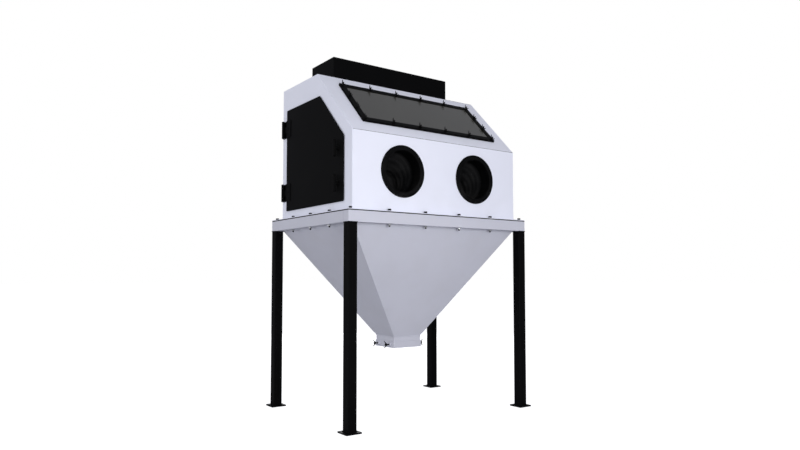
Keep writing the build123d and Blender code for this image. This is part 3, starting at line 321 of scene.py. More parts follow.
class Effects:
    """Builds each shared effect once, as a node group, and places it in materials."""

    def __init__(self) -> None:
        """Starts with no groups made."""
        self.made: dict[Effect, bpy.types.NodeTree] = {}

    def group(
        self, effect: Effect, inputs: dict[str, float], output: tuple[str, str]
    ) -> tuple[Links, bpy.types.Node, bpy.types.Node]:
        """Makes an empty group with its sockets.

        Args:
            effect: which effect it is.
            inputs: float inputs and their defaults.
            output: the output's name and socket type.

        Returns:
            The wiring, the group's input node and its output node.
        """
        tree = bpy.data.node_groups.new(effect.value, "ShaderNodeTree")
        for name, default in inputs.items():
            socket = tree.interface.new_socket(name, in_out="INPUT", socket_type="NodeSocketFloat")
            socket.default_value = default
        tree.interface.new_socket(output[0], in_out="OUTPUT", socket_type=output[1])
        wires = Links(tree)
        self.made[effect] = tree
        return wires, wires.node("NodeGroupInput"), wires.node("NodeGroupOutput")

    def build(self) -> None:
        """Makes all the groups."""
        self.orange_peel()
        self.mottle()
        self.scratches()
        self.settled_dust()
        self.edge_wear()

    def orange_peel(self) -> None:
        """The fine rolling texture of baked powder paint or a moulded skin, as a normal."""
        wires, given, out = self.group(
            Effect.ORANGE_PEEL, {"Grain": 500.0, "Depth": 0.1}, ("Normal", "NodeSocketVector")
        )
        place = wires.node("TexCoord")
        fine = wires.noise(place.outputs["Object"], 500.0, 2.0)
        wires.link(given.outputs["Grain"], fine.inputs["Scale"])
        coarse = wires.noise(place.outputs["Object"], 14.0, 2.0)
        both = wires.calc("ADD", fine.outputs["Fac"], wires.calc("MULTIPLY", coarse.outputs["Fac"], 3.0))
        bump = wires.node("Bump", in_Distance=0.0004)
        wires.link(given.outputs["Depth"], bump.inputs["Strength"])
        wires.link(both, bump.inputs["Height"])
        wires.link(bump.outputs["Normal"], out.inputs["Normal"])

    def mottle(self) -> None:
        """Slow unevenness over a surface, from 0 to 1."""
        wires, given, out = self.group(Effect.MOTTLE, {"Scale": 5.0}, ("Mask", "NodeSocketFloat"))
        place = wires.node("TexCoord")
        cloud = wires.noise(place.outputs["Object"], 5.0, 4.0)
        wires.link(given.outputs["Scale"], cloud.inputs["Scale"])
        wires.link(wires.ramp(cloud.outputs["Fac"], 0.35, 0.65), out.inputs["Mask"])

    def scratches(self) -> None:
        """Thin scuffs in two directions."""
        wires, given, out = self.group(Effect.SCRATCHES, {"Amount": 0.3}, ("Mask", "NodeSocketFloat"))
        place = wires.node("TexCoord")
        lines = []
        for turn, stretch in ((0.5, (9.0, 260.0, 60.0)), (-0.9, (70.0, 12.0, 240.0))):
            mapping = wires.node("Mapping")
            mapping.inputs["Rotation"].default_value = (turn, turn / 2, turn)
            mapping.inputs["Scale"].default_value = stretch
            wires.link(place.outputs["Object"], mapping.inputs["Vector"])
            streak = wires.noise(mapping.outputs["Vector"], 1.0, 5.0)
            lines.append(wires.ramp(streak.outputs["Fac"], 0.66, 0.72))
        strongest = wires.calc("MAXIMUM", lines[0], lines[1])
        wires.link(wires.calc("MULTIPLY", strongest, given.outputs["Amount"]), out.inputs["Mask"])

    def settled_dust(self) -> None:
        """Blasting dust that settles where a surface faces up and clings low on upright walls."""
        wires, given, out = self.group(
            Effect.SETTLED_DUST, {"Amount": 0.5, "Line": 0.95}, ("Mask", "NodeSocketFloat")
        )
        place = wires.node("TexCoord")
        geometry = wires.node("NewGeometry")
        facing = wires.node("SeparateXYZ")
        wires.link(geometry.outputs["Normal"], facing.inputs[0])
        height = wires.node("SeparateXYZ")
        wires.link(place.outputs["Object"], height.inputs[0])
        above = wires.calc("SUBTRACT", height.outputs["Z"], given.outputs["Line"])
        low = wires.calc("MULTIPLY", wires.ramp(above, 0.16, -0.02), 0.6)
        up = wires.ramp(facing.outputs["Z"], 0.35, 1.0)
        cloud = wires.noise(place.outputs["Object"], 9.0, 6.0)
        patches = wires.ramp(cloud.outputs["Fac"], 0.45, 0.75)
        total = wires.calc("MULTIPLY", wires.calc("MAXIMUM", up, low), patches)
        wires.link(wires.calc("MULTIPLY", total, given.outputs["Amount"]), out.inputs["Mask"])

    def edge_wear(self) -> None:
        """Rubbed outer corners, broken up by noise."""
        wires, given, out = self.group(Effect.EDGE_WEAR, {"Amount": 0.5}, ("Mask", "NodeSocketFloat"))
        geometry = wires.node("NewGeometry")
        place = wires.node("TexCoord")
        edge = wires.ramp(geometry.outputs["Pointiness"], 0.52, 0.62)
        chips = wires.noise(place.outputs["Object"], 60.0, 6.0)
        broken = wires.calc("MULTIPLY", edge, wires.ramp(chips.outputs["Fac"], 0.5, 0.62))
        wires.link(wires.calc("MULTIPLY", broken, given.outputs["Amount"]), out.inputs["Mask"])

    def place(self, wires: Links, effect: Effect, **values: float) -> bpy.types.NodeSocket:
        """Places an effect in a material.

        Args:
            wires: the material's wiring.
            effect: which effect.
            values: its inputs by name.

        Returns:
            The effect's output.
        """
        made = wires.node("Group", node_tree=self.made[effect])
        for name, value in values.items():
            made.inputs[name].default_value = value
        return made.outputs[0]


EFFECTS = Effects()


# ---------------------------------------------------------------- finishes

Colour = tuple[float, float, float]


@dataclass(frozen=True)
class Finish:
    """What every finish has: a name, a colour and how rough it is."""

    name: str
    colour: Colour
    roughness: float

    def start(self) -> tuple[bpy.types.Material, Links, bpy.types.Node]:
        """Makes the material with its Principled shader joined to the output.

        Returns:
            The material, its wiring and the shader.
        """
        material = bpy.data.materials.new(self.name)
        material.use_nodes = True
        wires = Links(material.node_tree)
        shader = wires.node("BsdfPrincipled")
        shader.inputs["Roughness"].default_value = self.roughness
        output = wires.node("OutputMaterial")
        wires.link(shader.outputs["BSDF"], output.inputs["Surface"])
        return material, wires, shader

    def gloss(
        self, wires: Links, shader: bpy.types.Node, mask: bpy.types.NodeSocket, swing: float
    ) -> bpy.types.NodeSocket:
        """Makes the surface rougher where a mask is stronger.

        Args:
            wires: the material's wiring.
            shader: its Principled shader.
            mask: where it is rougher.
            swing: how much rougher.

        Returns:
            The roughness.
        """
        rough = wires.calc("MULTIPLY_ADD", mask, swing)
        rough.node.inputs[2].default_value = self.roughness
        wires.link(rough, shader.inputs["Roughness"])
        return rough


@dataclass(frozen=True)
class Grained(Finish):
    """A finish with a fine skin: how many grains to the metre, and how deep."""

    grain: float = 300.0
    depth: float = 0.15

    def skin(self, wires: Links, shader: bpy.types.Node) -> None:
        """Gives the surface its fine rolling texture."""
        peel = EFFECTS.place(wires, Effect.ORANGE_PEEL, Grain=self.grain, Depth=self.depth)
        wires.link(peel, shader.inputs["Normal"])


@dataclass(frozen=True)
class PowderCoat(Grained):
    """Baked powder paint on sheet steel or tube."""

    shade: Colour = (0.5, 0.5, 0.5)
    dust: Colour = (0.4, 0.38, 0.36)
    dust_amount: float = 0.3
    dust_line: float = 0.95
    wear: Colour = (0.04, 0.04, 0.042)
    wear_amount: float = 0.0
    scuffs: float = 0.0
    grain: float = 520.0
    depth: float = 0.12
    specular: float = 0.4

    def build(self) -> bpy.types.Material:
        """Makes the paint: slow shade changes, settled dust, rubbed edges and orange peel."""
        material, wires, shader = self.start()
        cloud = EFFECTS.place(wires, Effect.MOTTLE, Scale=3.2)
        scuff = EFFECTS.place(wires, Effect.SCRATCHES, Amount=self.scuffs)
        dust = EFFECTS.place(wires, Effect.SETTLED_DUST, Amount=self.dust_amount, Line=self.dust_line)
        worn = EFFECTS.place(wires, Effect.EDGE_WEAR, Amount=self.wear_amount)
        colour = wires.mix(cloud, self.colour, self.shade)
        colour = wires.mix(scuff, colour, self.wear)
        colour = wires.mix(dust, colour, self.dust)
        colour = wires.mix(worn, colour, self.wear)
        wires.link(colour, shader.inputs["Base Color"])
        rough = self.gloss(wires, shader, cloud, 0.08)
        wires.link(wires.calc("ADD", rough, wires.calc("MULTIPLY", dust, 0.3)), shader.inputs["Roughness"])
        shader.inputs["Specular IOR Level"].default_value = self.specular
        self.skin(wires, shader)
        return material


@dataclass(frozen=True)
class BareMetal(Grained):
    """Plated, galvanised, cast or turned metal with tarnish and scratches."""

    tarnish: Colour = (0.2, 0.2, 0.2)
    scuffs: float = 0.6

    def build(self) -> bpy.types.Material:
        """Makes the metal."""
        material, wires, shader = self.start()
        cloud = EFFECTS.place(wires, Effect.MOTTLE, Scale=22.0)
        scuff = EFFECTS.place(wires, Effect.SCRATCHES, Amount=self.scuffs)
        colour = wires.mix(cloud, self.colour, self.tarnish)
        wires.link(wires.mix(scuff, colour, self.colour), shader.inputs["Base Color"])
        shader.inputs["Metallic"].default_value = 1.0
        self.gloss(wires, shader, cloud, 0.2)
        self.skin(wires, shader)
        return material


@dataclass(frozen=True)
class SoftBlack(Grained):
    """Rubber or moulded plastic: nearly black, with a dusty bloom and a skin."""

    bloom: Colour = (0.05, 0.05, 0.052)
    dust: Colour = (0.12, 0.115, 0.11)
    grain: float = 900.0
    depth: float = 0.3
    specular: float = 0.2

    def build(self) -> bpy.types.Material:
        """Makes the rubber or plastic."""
        material, wires, shader = self.start()
        cloud = EFFECTS.place(wires, Effect.MOTTLE, Scale=18.0)
        dust = EFFECTS.place(wires, Effect.SETTLED_DUST, Amount=0.35, Line=0.9)
        colour = wires.mix(cloud, self.colour, self.bloom)
        wires.link(wires.mix(dust, colour, self.dust), shader.inputs["Base Color"])
        self.gloss(wires, shader, cloud, 0.12)
        shader.inputs["Specular IOR Level"].default_value = self.specular
        self.skin(wires, shader)
        return material


@dataclass(frozen=True)
class Glass(Finish):
    """Sheet glass, clear or tinted, with blasting haze."""

    haze: Colour = (0.1, 0.1, 0.09)
    transmission: float = 0.5

    def build(self) -> bpy.types.Material:
        """Makes the glass: a faint haze on its face changes its colour and gloss."""
        material, wires, shader = self.start()
        cloud = EFFECTS.place(wires, Effect.MOTTLE, Scale=4.0)
        scuff = EFFECTS.place(wires, Effect.SCRATCHES, Amount=0.35)
        colour = wires.mix(cloud, self.colour, self.haze)
        wires.link(wires.mix(scuff, colour, self.haze), shader.inputs["Base Color"])
        shader.inputs["Transmission Weight"].default_value = self.transmission
        shader.inputs["IOR"].default_value = 1.5
        self.gloss(wires, shader, cloud, 0.06)
        return material


@dataclass(frozen=True)
class Diffuser(Finish):
    """Milky plastic over a light strip, with a faint glow and the dots of the diodes behind it."""

    glow: Colour = (0.9, 0.93, 1.0)
    dim: Colour = (0.5, 0.52, 0.56)
    yellowed: Colour = (0.75, 0.75, 0.72)
    strength: float = 1.6
    diode_spacing: float = 20 * MM

    def build(self) -> bpy.types.Material:
        """Makes the diffuser."""
        material, wires, shader = self.start()
        cloud = EFFECTS.place(wires, Effect.MOTTLE, Scale=30.0)
        wires.link(wires.mix(cloud, self.colour, self.yellowed), shader.inputs["Base Color"])
        place = wires.node("TexCoord")
        along = wires.node("SeparateXYZ")
        wires.link(place.outputs["Object"], along.inputs[0])
        turns = wires.calc("MULTIPLY", along.outputs["X"], math.tau / self.diode_spacing)
        diodes = wires.ramp(wires.calc("SINE", turns, 0.0), -1.5, 1.0)
        wires.link(wires.mix(diodes, self.dim, self.glow), shader.inputs["Emission Color"])
        shader.inputs["Emission Strength"].default_value = self.strength
        return material


WHITE = PowderCoat(
    "white_powder_coat",
    (0.835, 0.85, 0.95),
    0.42,
    shade=(0.812, 0.828, 0.93),
    dust=(0.5, 0.49, 0.5),
    dust_amount=0.16,
)
# The chamber's white powder coat, darkened for the parts on the stand: painted shade below the chamber.
WHITE_IN_PAINTED_SHADE = PowderCoat(
    "white_powder_coat_painted_shade",
    (0.585, 0.59, 0.665),
    0.45,
    shade=(0.56, 0.566, 0.64),
    dust_amount=0.16,
    dust_line=0.8,
)
BLACK = PowderCoat(
    "black_powder_coat",
    (0.0022, 0.0022, 0.0024),
    0.46,
    shade=(0.0032, 0.0032, 0.0034),
    dust=(0.009, 0.009, 0.0088),
    dust_amount=0.25,
    dust_line=0.05,
    specular=0.03,
)
BLACK_OXIDE = PowderCoat(
    "black_oxide",
    (0.002, 0.002, 0.0022),
    0.4,
    shade=(0.004, 0.0038, 0.0035),
    dust_amount=0.0,
    wear_amount=0.4,
    scuffs=0.08,
    grain=1400.0,
    specular=0.05,
)
RUBBER = SoftBlack("black_rubber", (0.002, 0.002, 0.002), 0.7, bloom=(0.005, 0.005, 0.005), specular=0.03)
GLOVE_RUBBER = SoftBlack(
    "glove_rubber", (0.004, 0.004, 0.0045), 0.6, bloom=(0.009, 0.009, 0.0095), grain=420.0, depth=0.6
)
PLASTIC = SoftBlack(
    "black_plastic", (0.0022, 0.0022, 0.0024), 0.5, bloom=(0.004, 0.004, 0.0042), depth=0.15, specular=0.04
)
TINTED_GLASS = Glass(
    "tinted_glass", (0.044, 0.044, 0.037), 0.14, haze=(0.053, 0.052, 0.044), transmission=0.12
)
CLEAR_GLASS = Glass("clear_glass", (0.9, 0.93, 0.92), 0.08, haze=(0.8, 0.83, 0.82), transmission=0.9)
ZINC = BareMetal("zinc_plated_steel", (0.55, 0.56, 0.57), 0.3, tarnish=(0.38, 0.38, 0.39))
GALVANISED = BareMetal("galvanised_steel", (0.42, 0.43, 0.44), 0.5, tarnish=(0.27, 0.27, 0.28), grain=120.0)
CAST_ALLOY = BareMetal(
    "cast_alloy", (0.5, 0.5, 0.51), 0.45, tarnish=(0.36, 0.36, 0.37), grain=700.0, depth=0.4
)
BRASS = BareMetal("turned_brass", (0.66, 0.5, 0.22), 0.28, tarnish=(0.4, 0.29, 0.12))
OPAL = Diffuser("opal_diffuser", (0.85, 0.85, 0.82), 0.25)

FINISH_OF_SLOT: dict[str, Finish] = {
    "white_paint": WHITE,
    # the stand's parts take the white paint darkened as painted shade
    "stand_paint": WHITE_IN_PAINTED_SHADE,
    "black_paint": BLACK,
    "black_oxide": BLACK_OXIDE,
    "black_rubber": RUBBER,
    "glove_rubber": GLOVE_RUBBER,
    "tinted_glass": TINTED_GLASS,
    "clear_glass": CLEAR_GLASS,
    "black_plastic": PLASTIC,
    "lamp_diffuser": OPAL,
    "bare_steel": ZINC,
    "galvanised": GALVANISED,
    "cast_aluminium": CAST_ALLOY,
    "brass": BRASS,
}


class Workshop:
    """Keeps the finished materials, and fits pieces and CAD nodes with them."""

    slots: dict[str, str] = {row["node"]: row["material_slot"] for row in frame["record"]["subparts"]}
    bodies: dict[str, str] = {
        node: body for body, nodes in frame["record"]["behaviour"]["bodies"].items() for node in nodes
    }

    def __init__(self) -> None:
        """Builds every material once."""
        EFFECTS.build()
        self.materials = {slot: finish.build() for slot, finish in FINISH_OF_SLOT.items()}

    def fit(self, obj: bpy.types.Object, body: str, slot: str, replaces: str = "") -> bpy.types.Object:
        """Gives a finished piece its slot's finish and lets it ride on its body.

        Args:
            obj: the piece, with its place in its mesh.
            body: the CAD body that it moves with.
            slot: the record's material slot.
            replaces: the CAD node that it stands for, if it stands for one.

        Returns:
            The piece.
        """
        obj.data.materials.clear()
        obj.data.materials.append(self.materials[slot])
        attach(obj, body)
        if replaces:
            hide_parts(replaces)
        log.info("%s: %d faces on %s", obj.name, len(obj.data.polygons), body)
        return obj

    def stand_for(self, obj: bpy.types.Object, node: str) -> bpy.types.Object:
        """Fits a piece in a CAD node's place, with that node's body and slot."""
        return self.fit(obj, self.bodies[node], self.slots[node], node)

    def refine(self, node: str, edge: float = 0.9, angle: float = 35.0) -> bpy.types.Object:
        """Copies a CAD node, welds the copy and eases its edges, and shows the copy instead.

        Args:
            node: the CAD node.
            edge: the eased edge's width in millimetres.
            angle: edges sharper than this many degrees are eased.

        Returns:
            The finished copy.
        """
        piece = bpy.data.objects.new(f"{node}_finished", frame["nodes"][node].data.copy())
        bpy.context.scene.collection.objects.link(piece)
        edit(piece, "VERT")
        bpy.ops.object.mode_set(mode="EDIT")
        bpy.ops.mesh.select_all(action="SELECT")
        bpy.ops.mesh.remove_doubles(threshold=0.00001)
        bpy.ops.mesh.tris_convert_to_quads(face_threshold=math.radians(0.3), shape_threshold=math.pi)
        close_edit()
        apply_modifier(
            piece, "BEVEL", width=edge * MM, segments=2, limit_method="ANGLE",
            angle_limit=math.radians(angle), use_clamp_overlap=False, miter_outer="MITER_ARC",
            loop_slide=False,
        )
        smooth(piece)
        apply_modifier(piece, "WEIGHTED_NORMAL", weight=100, keep_sharp=True)
        return self.stand_for(piece, node)

    def refine_all(self, **edges: float) -> None:
        """Refines several CAD nodes, each with its own eased edge in millimetres."""
        for node, edge in edges.items():
            self.refine(node, edge)


def turned(
    name: str, profile: list[tuple[float, float]], segments: int = 48, ring: bool = False
) -> bpy.types.Object:
    """Turns a profile round the Z axis: a circle is extruded and resized from step to step.

    Args:
        name: the new object's name.
        profile: radius and height in metres of each step, from the first edge to the last.
        segments: how many sides the round has.
        ring: joins the last edge to the first, as in a tyre; otherwise both ends get a flat face.

    Returns:
        The closed solid.
    """
    radius, height = profile[0]
    obj = primitive(
        bpy.ops.mesh.primitive_circle_add, name,
        vertices=segments, radius=radius, fill_type="NOTHING", location=(0, 0, height),
    )
    settle(obj)
    bpy.ops.object.mode_set(mode="EDIT")
    bpy.ops.mesh.select_all(action="SELECT")
    for new_radius, new_height in profile[1:]:
        bpy.ops.mesh.extrude_edges_move(TRANSFORM_OT_translate={"value": (0, 0, new_height - height)})
        share = new_radius / radius
        bpy.ops.transform.resize(value=(share, share, 1), center_override=(0, 0, new_height))
        radius, height = new_radius, new_height
    bpy.ops.mesh.select_all(action="DESELECT")
    bpy.ops.mesh.select_mode(type="EDGE")
    bpy.ops.mesh.select_non_manifold()
    if ring:
        bpy.ops.mesh.bridge_edge_loops()
    else:
        bpy.ops.mesh.fill_holes(sides=0)
    bpy.ops.mesh.select_all(action="SELECT")
    bpy.ops.mesh.normals_make_consistent(inside=False)
    close_edit()
    return obj


def thread(radius: float, depth: float, pitch: float, top: float, length: float) -> list[tuple[float, float]]:
    """Crests and roots of a screw thread, for a turned profile.

    Args:
        radius: the crest's radius.
        depth: the root's depth.
        pitch: from crest to crest.
        top: where the thread starts.
        length: how far it runs down from there.

    Returns:
        Steps of radius and height, going down.
    """
    turns = int(length / pitch)
    return [
        (radius - depth * (half % 2), top - pitch * half / 2) for half in range(1, 2 * turns)
    ] + [(radius - 1.4 * depth, top - length)]


def hexagon(name: str, flats: float, height: float, base: float, easing: float) -> bpy.types.Object:
    """A hexagonal head or nut with eased corners, standing on base.

    Args:
        name: the new object's name.
        flats: the width across flats.
        height: its height.
        base: the height of its underside.
        easing: the width of its eased edges.

    Returns:
        The hexagonal solid.
    """
    head = primitive(
        bpy.ops.mesh.primitive_cylinder_add, name,
        vertices=6, radius=flats / math.sqrt(3), depth=height, location=(0, 0, base + height / 2),
    )
    settle(head)
    pick_faces(head, lambda face: face.normal.z > 0.9)
    bpy.ops.mesh.inset(thickness=flats * 0.07)
    bpy.ops.transform.translate(value=(0, 0, easing))
    close_edit()
    apply_modifier(head, "BEVEL", width=easing, segments=2, limit_method="ANGLE", angle_limit=0.6)
    smooth(head)
    return head


def screw_head(name: str, radius: float, height: float) -> bpy.types.Object:
    """A domed screw head with a driving socket, facing up from the origin.

    Args:
        name: the new object's name.
        radius: the head's radius.
        height: its height.

    Returns:
        The head.
    """
    head = turned(
        name,
        [
            (radius, -height * 0.15), (radius, height * 0.25), (radius * 0.86, height * 0.7),
            (radius * 0.6, height * 0.94), (radius * 0.38, height),
        ],
        segments=24,
    )
    pick_faces(head, lambda face: face.normal.z > 0.95)
    bpy.ops.mesh.inset(thickness=radius * 0.02)
    bpy.ops.mesh.extrude_region_move(TRANSFORM_OT_translate={"value": (0, 0, -height * 0.5)})
    close_edit()
    smooth(head)
    return head


def winged_head(name: str, span: float, height: float, hub: float, bore: float) -> bpy.types.Object:
    """The hub and two wings of a wing nut or wing screw, facing up from the origin with wings along Y.

    Args:
        name: the new object's name.
        span: the distance over the wings.
        height: the height of the wing tips.
        hub: the hub's radius.
        bore: the radius of its hole.

    Returns:
        The cast head.
    """
    hub_height = height / 2
    parts = [
        turned(
            name,
            [
                (bore, 0), (hub, 0), (hub, hub_height * 0.12), (hub * 0.84, hub_height * 0.85),
                (hub * 0.72, hub_height), (bore, hub_height),
            ],
            segments=24,
            ring=True,
        )
    ]
    smooth(parts[0], 40)
    thick = hub * 0.85
    for side in (-1, 1):
        inner = hub * 0.72
        wing = primitive(
            bpy.ops.mesh.primitive_cube_add, name,
            size=1, location=(0, side * inner, hub_height * 0.5), scale=(thick, hub * 0.3, hub_height * 0.72),
        )
        settle(wing)
        pick_faces(wing, lambda face: face.normal.y * side > 0.9)
        reach = span / 2 - inner - hub * 0.15
        for part, rise, shrink in ((0.45, 0.2, 1.0), (0.4, 0.32, 1.05), (0.15, 0.12, 0.9)):
            bpy.ops.mesh.extrude_region_move(
                TRANSFORM_OT_translate={"value": (0, side * reach * part, height * rise)}
            )
            bpy.ops.transform.resize(value=(0.9, 1, shrink))
        close_edit()
        apply_modifier(wing, "SUBSURF", levels=2, render_levels=2)
        smooth(wing, 60)
        parts.append(wing)
    return join(parts, name)


def weld_bead(name: str, start: Vector, end: Vector, radius: float) -> bpy.types.Object:
    """A rippled run of weld.

    Args:
        name: the new object's name.
        start: one end.
        end: the other end.
        radius: the bead's radius.

    Returns:
        The bead.
    """
    along = end - start
    bead = primitive(
        bpy.ops.mesh.primitive_cylinder_add, name,
        vertices=8, radius=radius, depth=along.length, location=(start + end) / 2,
        rotation=along.to_track_quat("Z", "Y").to_euler(),
    )
    edit(bead, "EDGE")
    corners = bead.data.vertices
    for edge in bead.data.edges:
        first, last = edge.vertices
        edge.select = abs(corners[first].co.z - corners[last].co.z) > radius
    bpy.ops.object.mode_set(mode="EDIT")
    bpy.ops.mesh.subdivide(number_cuts=max(3, int(along.length / (radius * 0.9))))
    close_edit()
    settle(bead)
    ripple = bpy.data.textures.get("weld_ripple") or bpy.data.textures.new("weld_ripple", "CLOUDS")
    ripple.noise_scale = 0.004
    apply_modifier(bead, "DISPLACE", texture=ripple, strength=radius * 0.9, texture_coords="LOCAL")
    smooth(bead, 60)
    return bead


def weld_ring(node: str, height: float, radius: float) -> list[bpy.types.Object]:
    """Lays weld round the four sides of a CAD node's box.

    Args:
        node: the CAD node.
        height: how high the weld lies.
        radius: the bead's radius.

    Returns:
        The four beads, not yet joined.
    """
    low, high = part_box(node)
    plan = ((low.x, low.y), (high.x, low.y), (high.x, high.y), (low.x, high.y))
    corners = [Vector((x, y, height)) for x, y in plan]
    return [
        weld_bead(node, start, end, radius) for start, end in zip(corners, corners[1:] + corners[:1])
    ]


def round_the_edge(half_x: float, half_y: float, across: int, deep: int) -> list[tuple[float, float]]:
    """Evenly spaced places round a rectangle, with one at each corner.

    Args:
        half_x: half its width.
        half_y: half its depth.
        across: places along each long side.
        deep: places along each short side.

    Returns:
        The places from the rectangle's middle.
    """
    sides = (-1, 1)
    along_x = [half_x * (2 * i / (across - 1) - 1) for i in range(across)]
    along_y = [half_y * (2 * i / (deep - 1) - 1) for i in range(1, deep - 1)]
    return [(x, side * half_y) for x in along_x for side in sides] + [
        (side * half_x, y) for y in along_y for side in sides
    ]


# ---------------------------------------------------------------- the cabinet's sub-assemblies


@dataclass
class Stand:
    """Four tube legs on foot plates, and the rim that they carry."""

    corners: tuple[str, ...] = ("front_left", "front_right", "rear_left", "rear_right")
    weld: float = 2.6 * MM
    top_weld: float = 1.82 * MM
    sink: float = 0.3

    def build(self, shop: Workshop) -> None:
        """Finishes legs, feet and rim, and lays the welds between them."""
        for corner in self.corners:
            shop.refine(f"leg_{corner}", edge=0.5)
        shop.refine("foot_plates", edge=0.8)
        for side in ("front", "rear", "left", "right"):
            shop.refine(f"rim_rail_{side}", edge=0.6)
        self.leg_welds(shop)

    def leg_welds(self, shop: Workshop) -> None:
        """Runs a bead round each leg, where it meets its foot plate and the rim."""
        beads = []
        for corner in self.corners:
            low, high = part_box(f"leg_{corner}")
            beads += weld_ring(f"leg_{corner}", low.z + self.sink * self.weld, self.weld)
            beads += weld_ring(f"leg_{corner}", high.z - self.sink * self.weld, self.top_weld)
        shop.fit(join(beads, "leg_welds"), "cabinet", "black_paint")


@dataclass
class Hopper:
    """The collecting hopper, its neck and the cap that closes it."""

    weld: float = 1.6 * MM
    screw_span: float = 32 * MM
    screw_height: float = 16 * MM
    screw_hub: float = 6 * MM
    screw_radius: float = 3 * MM
    screw_spacing: float = 92 * MM
    thread_depth: float = 0.35 * MM
    thread_pitch: float = 1 * MM
    tip_gap: float = 0.3 * MM

    def build(self, shop: Workshop) -> None:
        """Finishes the plates, neck and cap, and makes the wing screws."""
        for side in ("front", "rear", "left", "right"):
            shop.refine(f"hopper_{side}", edge=0.5, angle=50)
        shop.refine_all(hopper_neck=0.5, outlet_cap=0.6, outlet_gasket=0.4)
        self.neck_weld(shop)
        self.wing_screws(shop)

    def neck_weld(self, shop: Workshop) -> None:
        """Joins the neck to the plates with a bead on all four sides."""
        beads = weld_ring("hopper_neck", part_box("hopper_neck")[1].z, self.weld)
        shop.fit(join(beads, "neck_weld"), "cabinet", shop.slots["hopper_neck"])

    def wing_screws(self, shop: Workshop) -> None:
        """Makes the four screws that clamp the cap on the neck."""
        heads_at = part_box("cap_wing_screws")[1].x - self.screw_height
        tip_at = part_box("hopper_neck")[1].x + self.tip_gap
        head = winged_head(
            "cap_wing_screws_finished", self.screw_span, self.screw_height, self.screw_hub,
            self.screw_radius * 0.9,
        )
        shank = turned(
            "cap_screw_shank",
            [(self.screw_radius * 0.9, self.screw_height * 0.45)]
            + thread(self.screw_radius, self.thread_depth, self.thread_pitch, 0, heads_at - tip_at),
            segments=16,
        )
        smooth(shank, 70)
        screw = join([head, shank], "cap_wing_screws_finished")
        places = [
            Matrix.Translation((side * heads_at, spot * self.screw_spacing / 2, middle("cap_wing_screws").z))
            @ Matrix.Rotation(math.radians(90 * side), 4, "Y")
            @ Matrix.Rotation(math.radians(90), 4, "Z")
            for side in (-1, 1)
            for spot in (-1, 1)
        ]
        made = copies(screw, places, "cap_wing_screws_finished")
        shop.stand_for(made, "cap_wing_screws")


@dataclass
class Flange:
    """The bolted joint between chamber and rim."""

    across: int = 6
    deep: int = 5
    flats: float = 13 * MM
    head: float = 7.5 * MM
    flange_radius: float = 9 * MM
    flange: float = 1.6 * MM
    shank: float = 4 * MM
    thread_length: float = 24 * MM
    thread_pitch: float = 1.25 * MM
    thread_depth: float = 0.6 * MM
    nut: float = 6.5 * MM
    easing: float = 0.4 * MM
    leg_cap: float = 5 * MM

    def places(self) -> list[tuple[float, float]]:
        """The bolts' places in plan, all round the rim."""
        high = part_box("flange_bolts")[1]
        half_x, half_y = high.x - self.flange_radius, high.y - self.flange_radius
        return round_the_edge(half_x, half_y, self.across, self.deep)

    def build(self, shop: Workshop) -> None:
        """Finishes the gasket and flange, and makes bolts and nuts."""
        shop.refine_all(rim_gasket=0.5, cabinet_flange=0.6)
        self.bolts(shop)
        self.nuts(shop)

    def bolts(self, shop: Workshop) -> None:
        """Makes the flange-head bolts."""
        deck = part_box("cabinet_flange")[1].z
        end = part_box("flange_bolts")[0].z
        washer = turned(
            "bolt_flange",
            [
                (self.flange_radius, deck),
                (self.flange_radius, deck + 0.5 * self.flange),
                (self.flange_radius * 0.82, deck + self.flange),
                (self.flats * 0.45, deck + 1.25 * self.flange),
            ],
            segments=32,
        )
        smooth(washer, 40)
        head = hexagon("bolt_head", self.flats, self.head - self.easing, deck + self.flange, self.easing)
        threaded = end + self.thread_length
        shank = turned(
            "bolt_shank",
            [(self.shank, deck), (self.shank, threaded)]
            + thread(self.shank, self.thread_depth, self.thread_pitch, threaded, self.thread_length),
            segments=16,
        )
        smooth(shank, 70)
        bolt = join([head, washer, shank], "flange_bolts_finished")
        spots = [
            Matrix.Translation((x, y, 0)) @ Matrix.Rotation(1.7 * x + 2.3 * y, 4, "Z")
            for x, y in self.places()
        ]
        made = copies(bolt, spots, "flange_bolts_finished")
        shop.stand_for(made, "flange_bolts")

    def nuts(self, shop: Workshop) -> None:
        """Makes the nuts, under the rim and under the legs' caps."""
        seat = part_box("rim_rail_front")[0].z
        leg_low, leg_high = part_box("leg_front_right")
        easing = self.easing
        nut = hexagon("flange_nuts_finished", self.flats, self.nut - 2 * easing, easing - self.nut, easing)
        spots = []
        for x, y in self.places():
            in_leg = abs(x) > leg_low.x and abs(y) > -leg_high.y
            drop = self.leg_cap if in_leg else 0
            spots.append(Matrix.Translation((x, y, seat - drop)) @ Matrix.Rotation(3.1 * x + y, 4, "Z"))
        made = copies(nut, spots, "flange_nuts_finished")
        shop.stand_for(made, "flange_nuts")


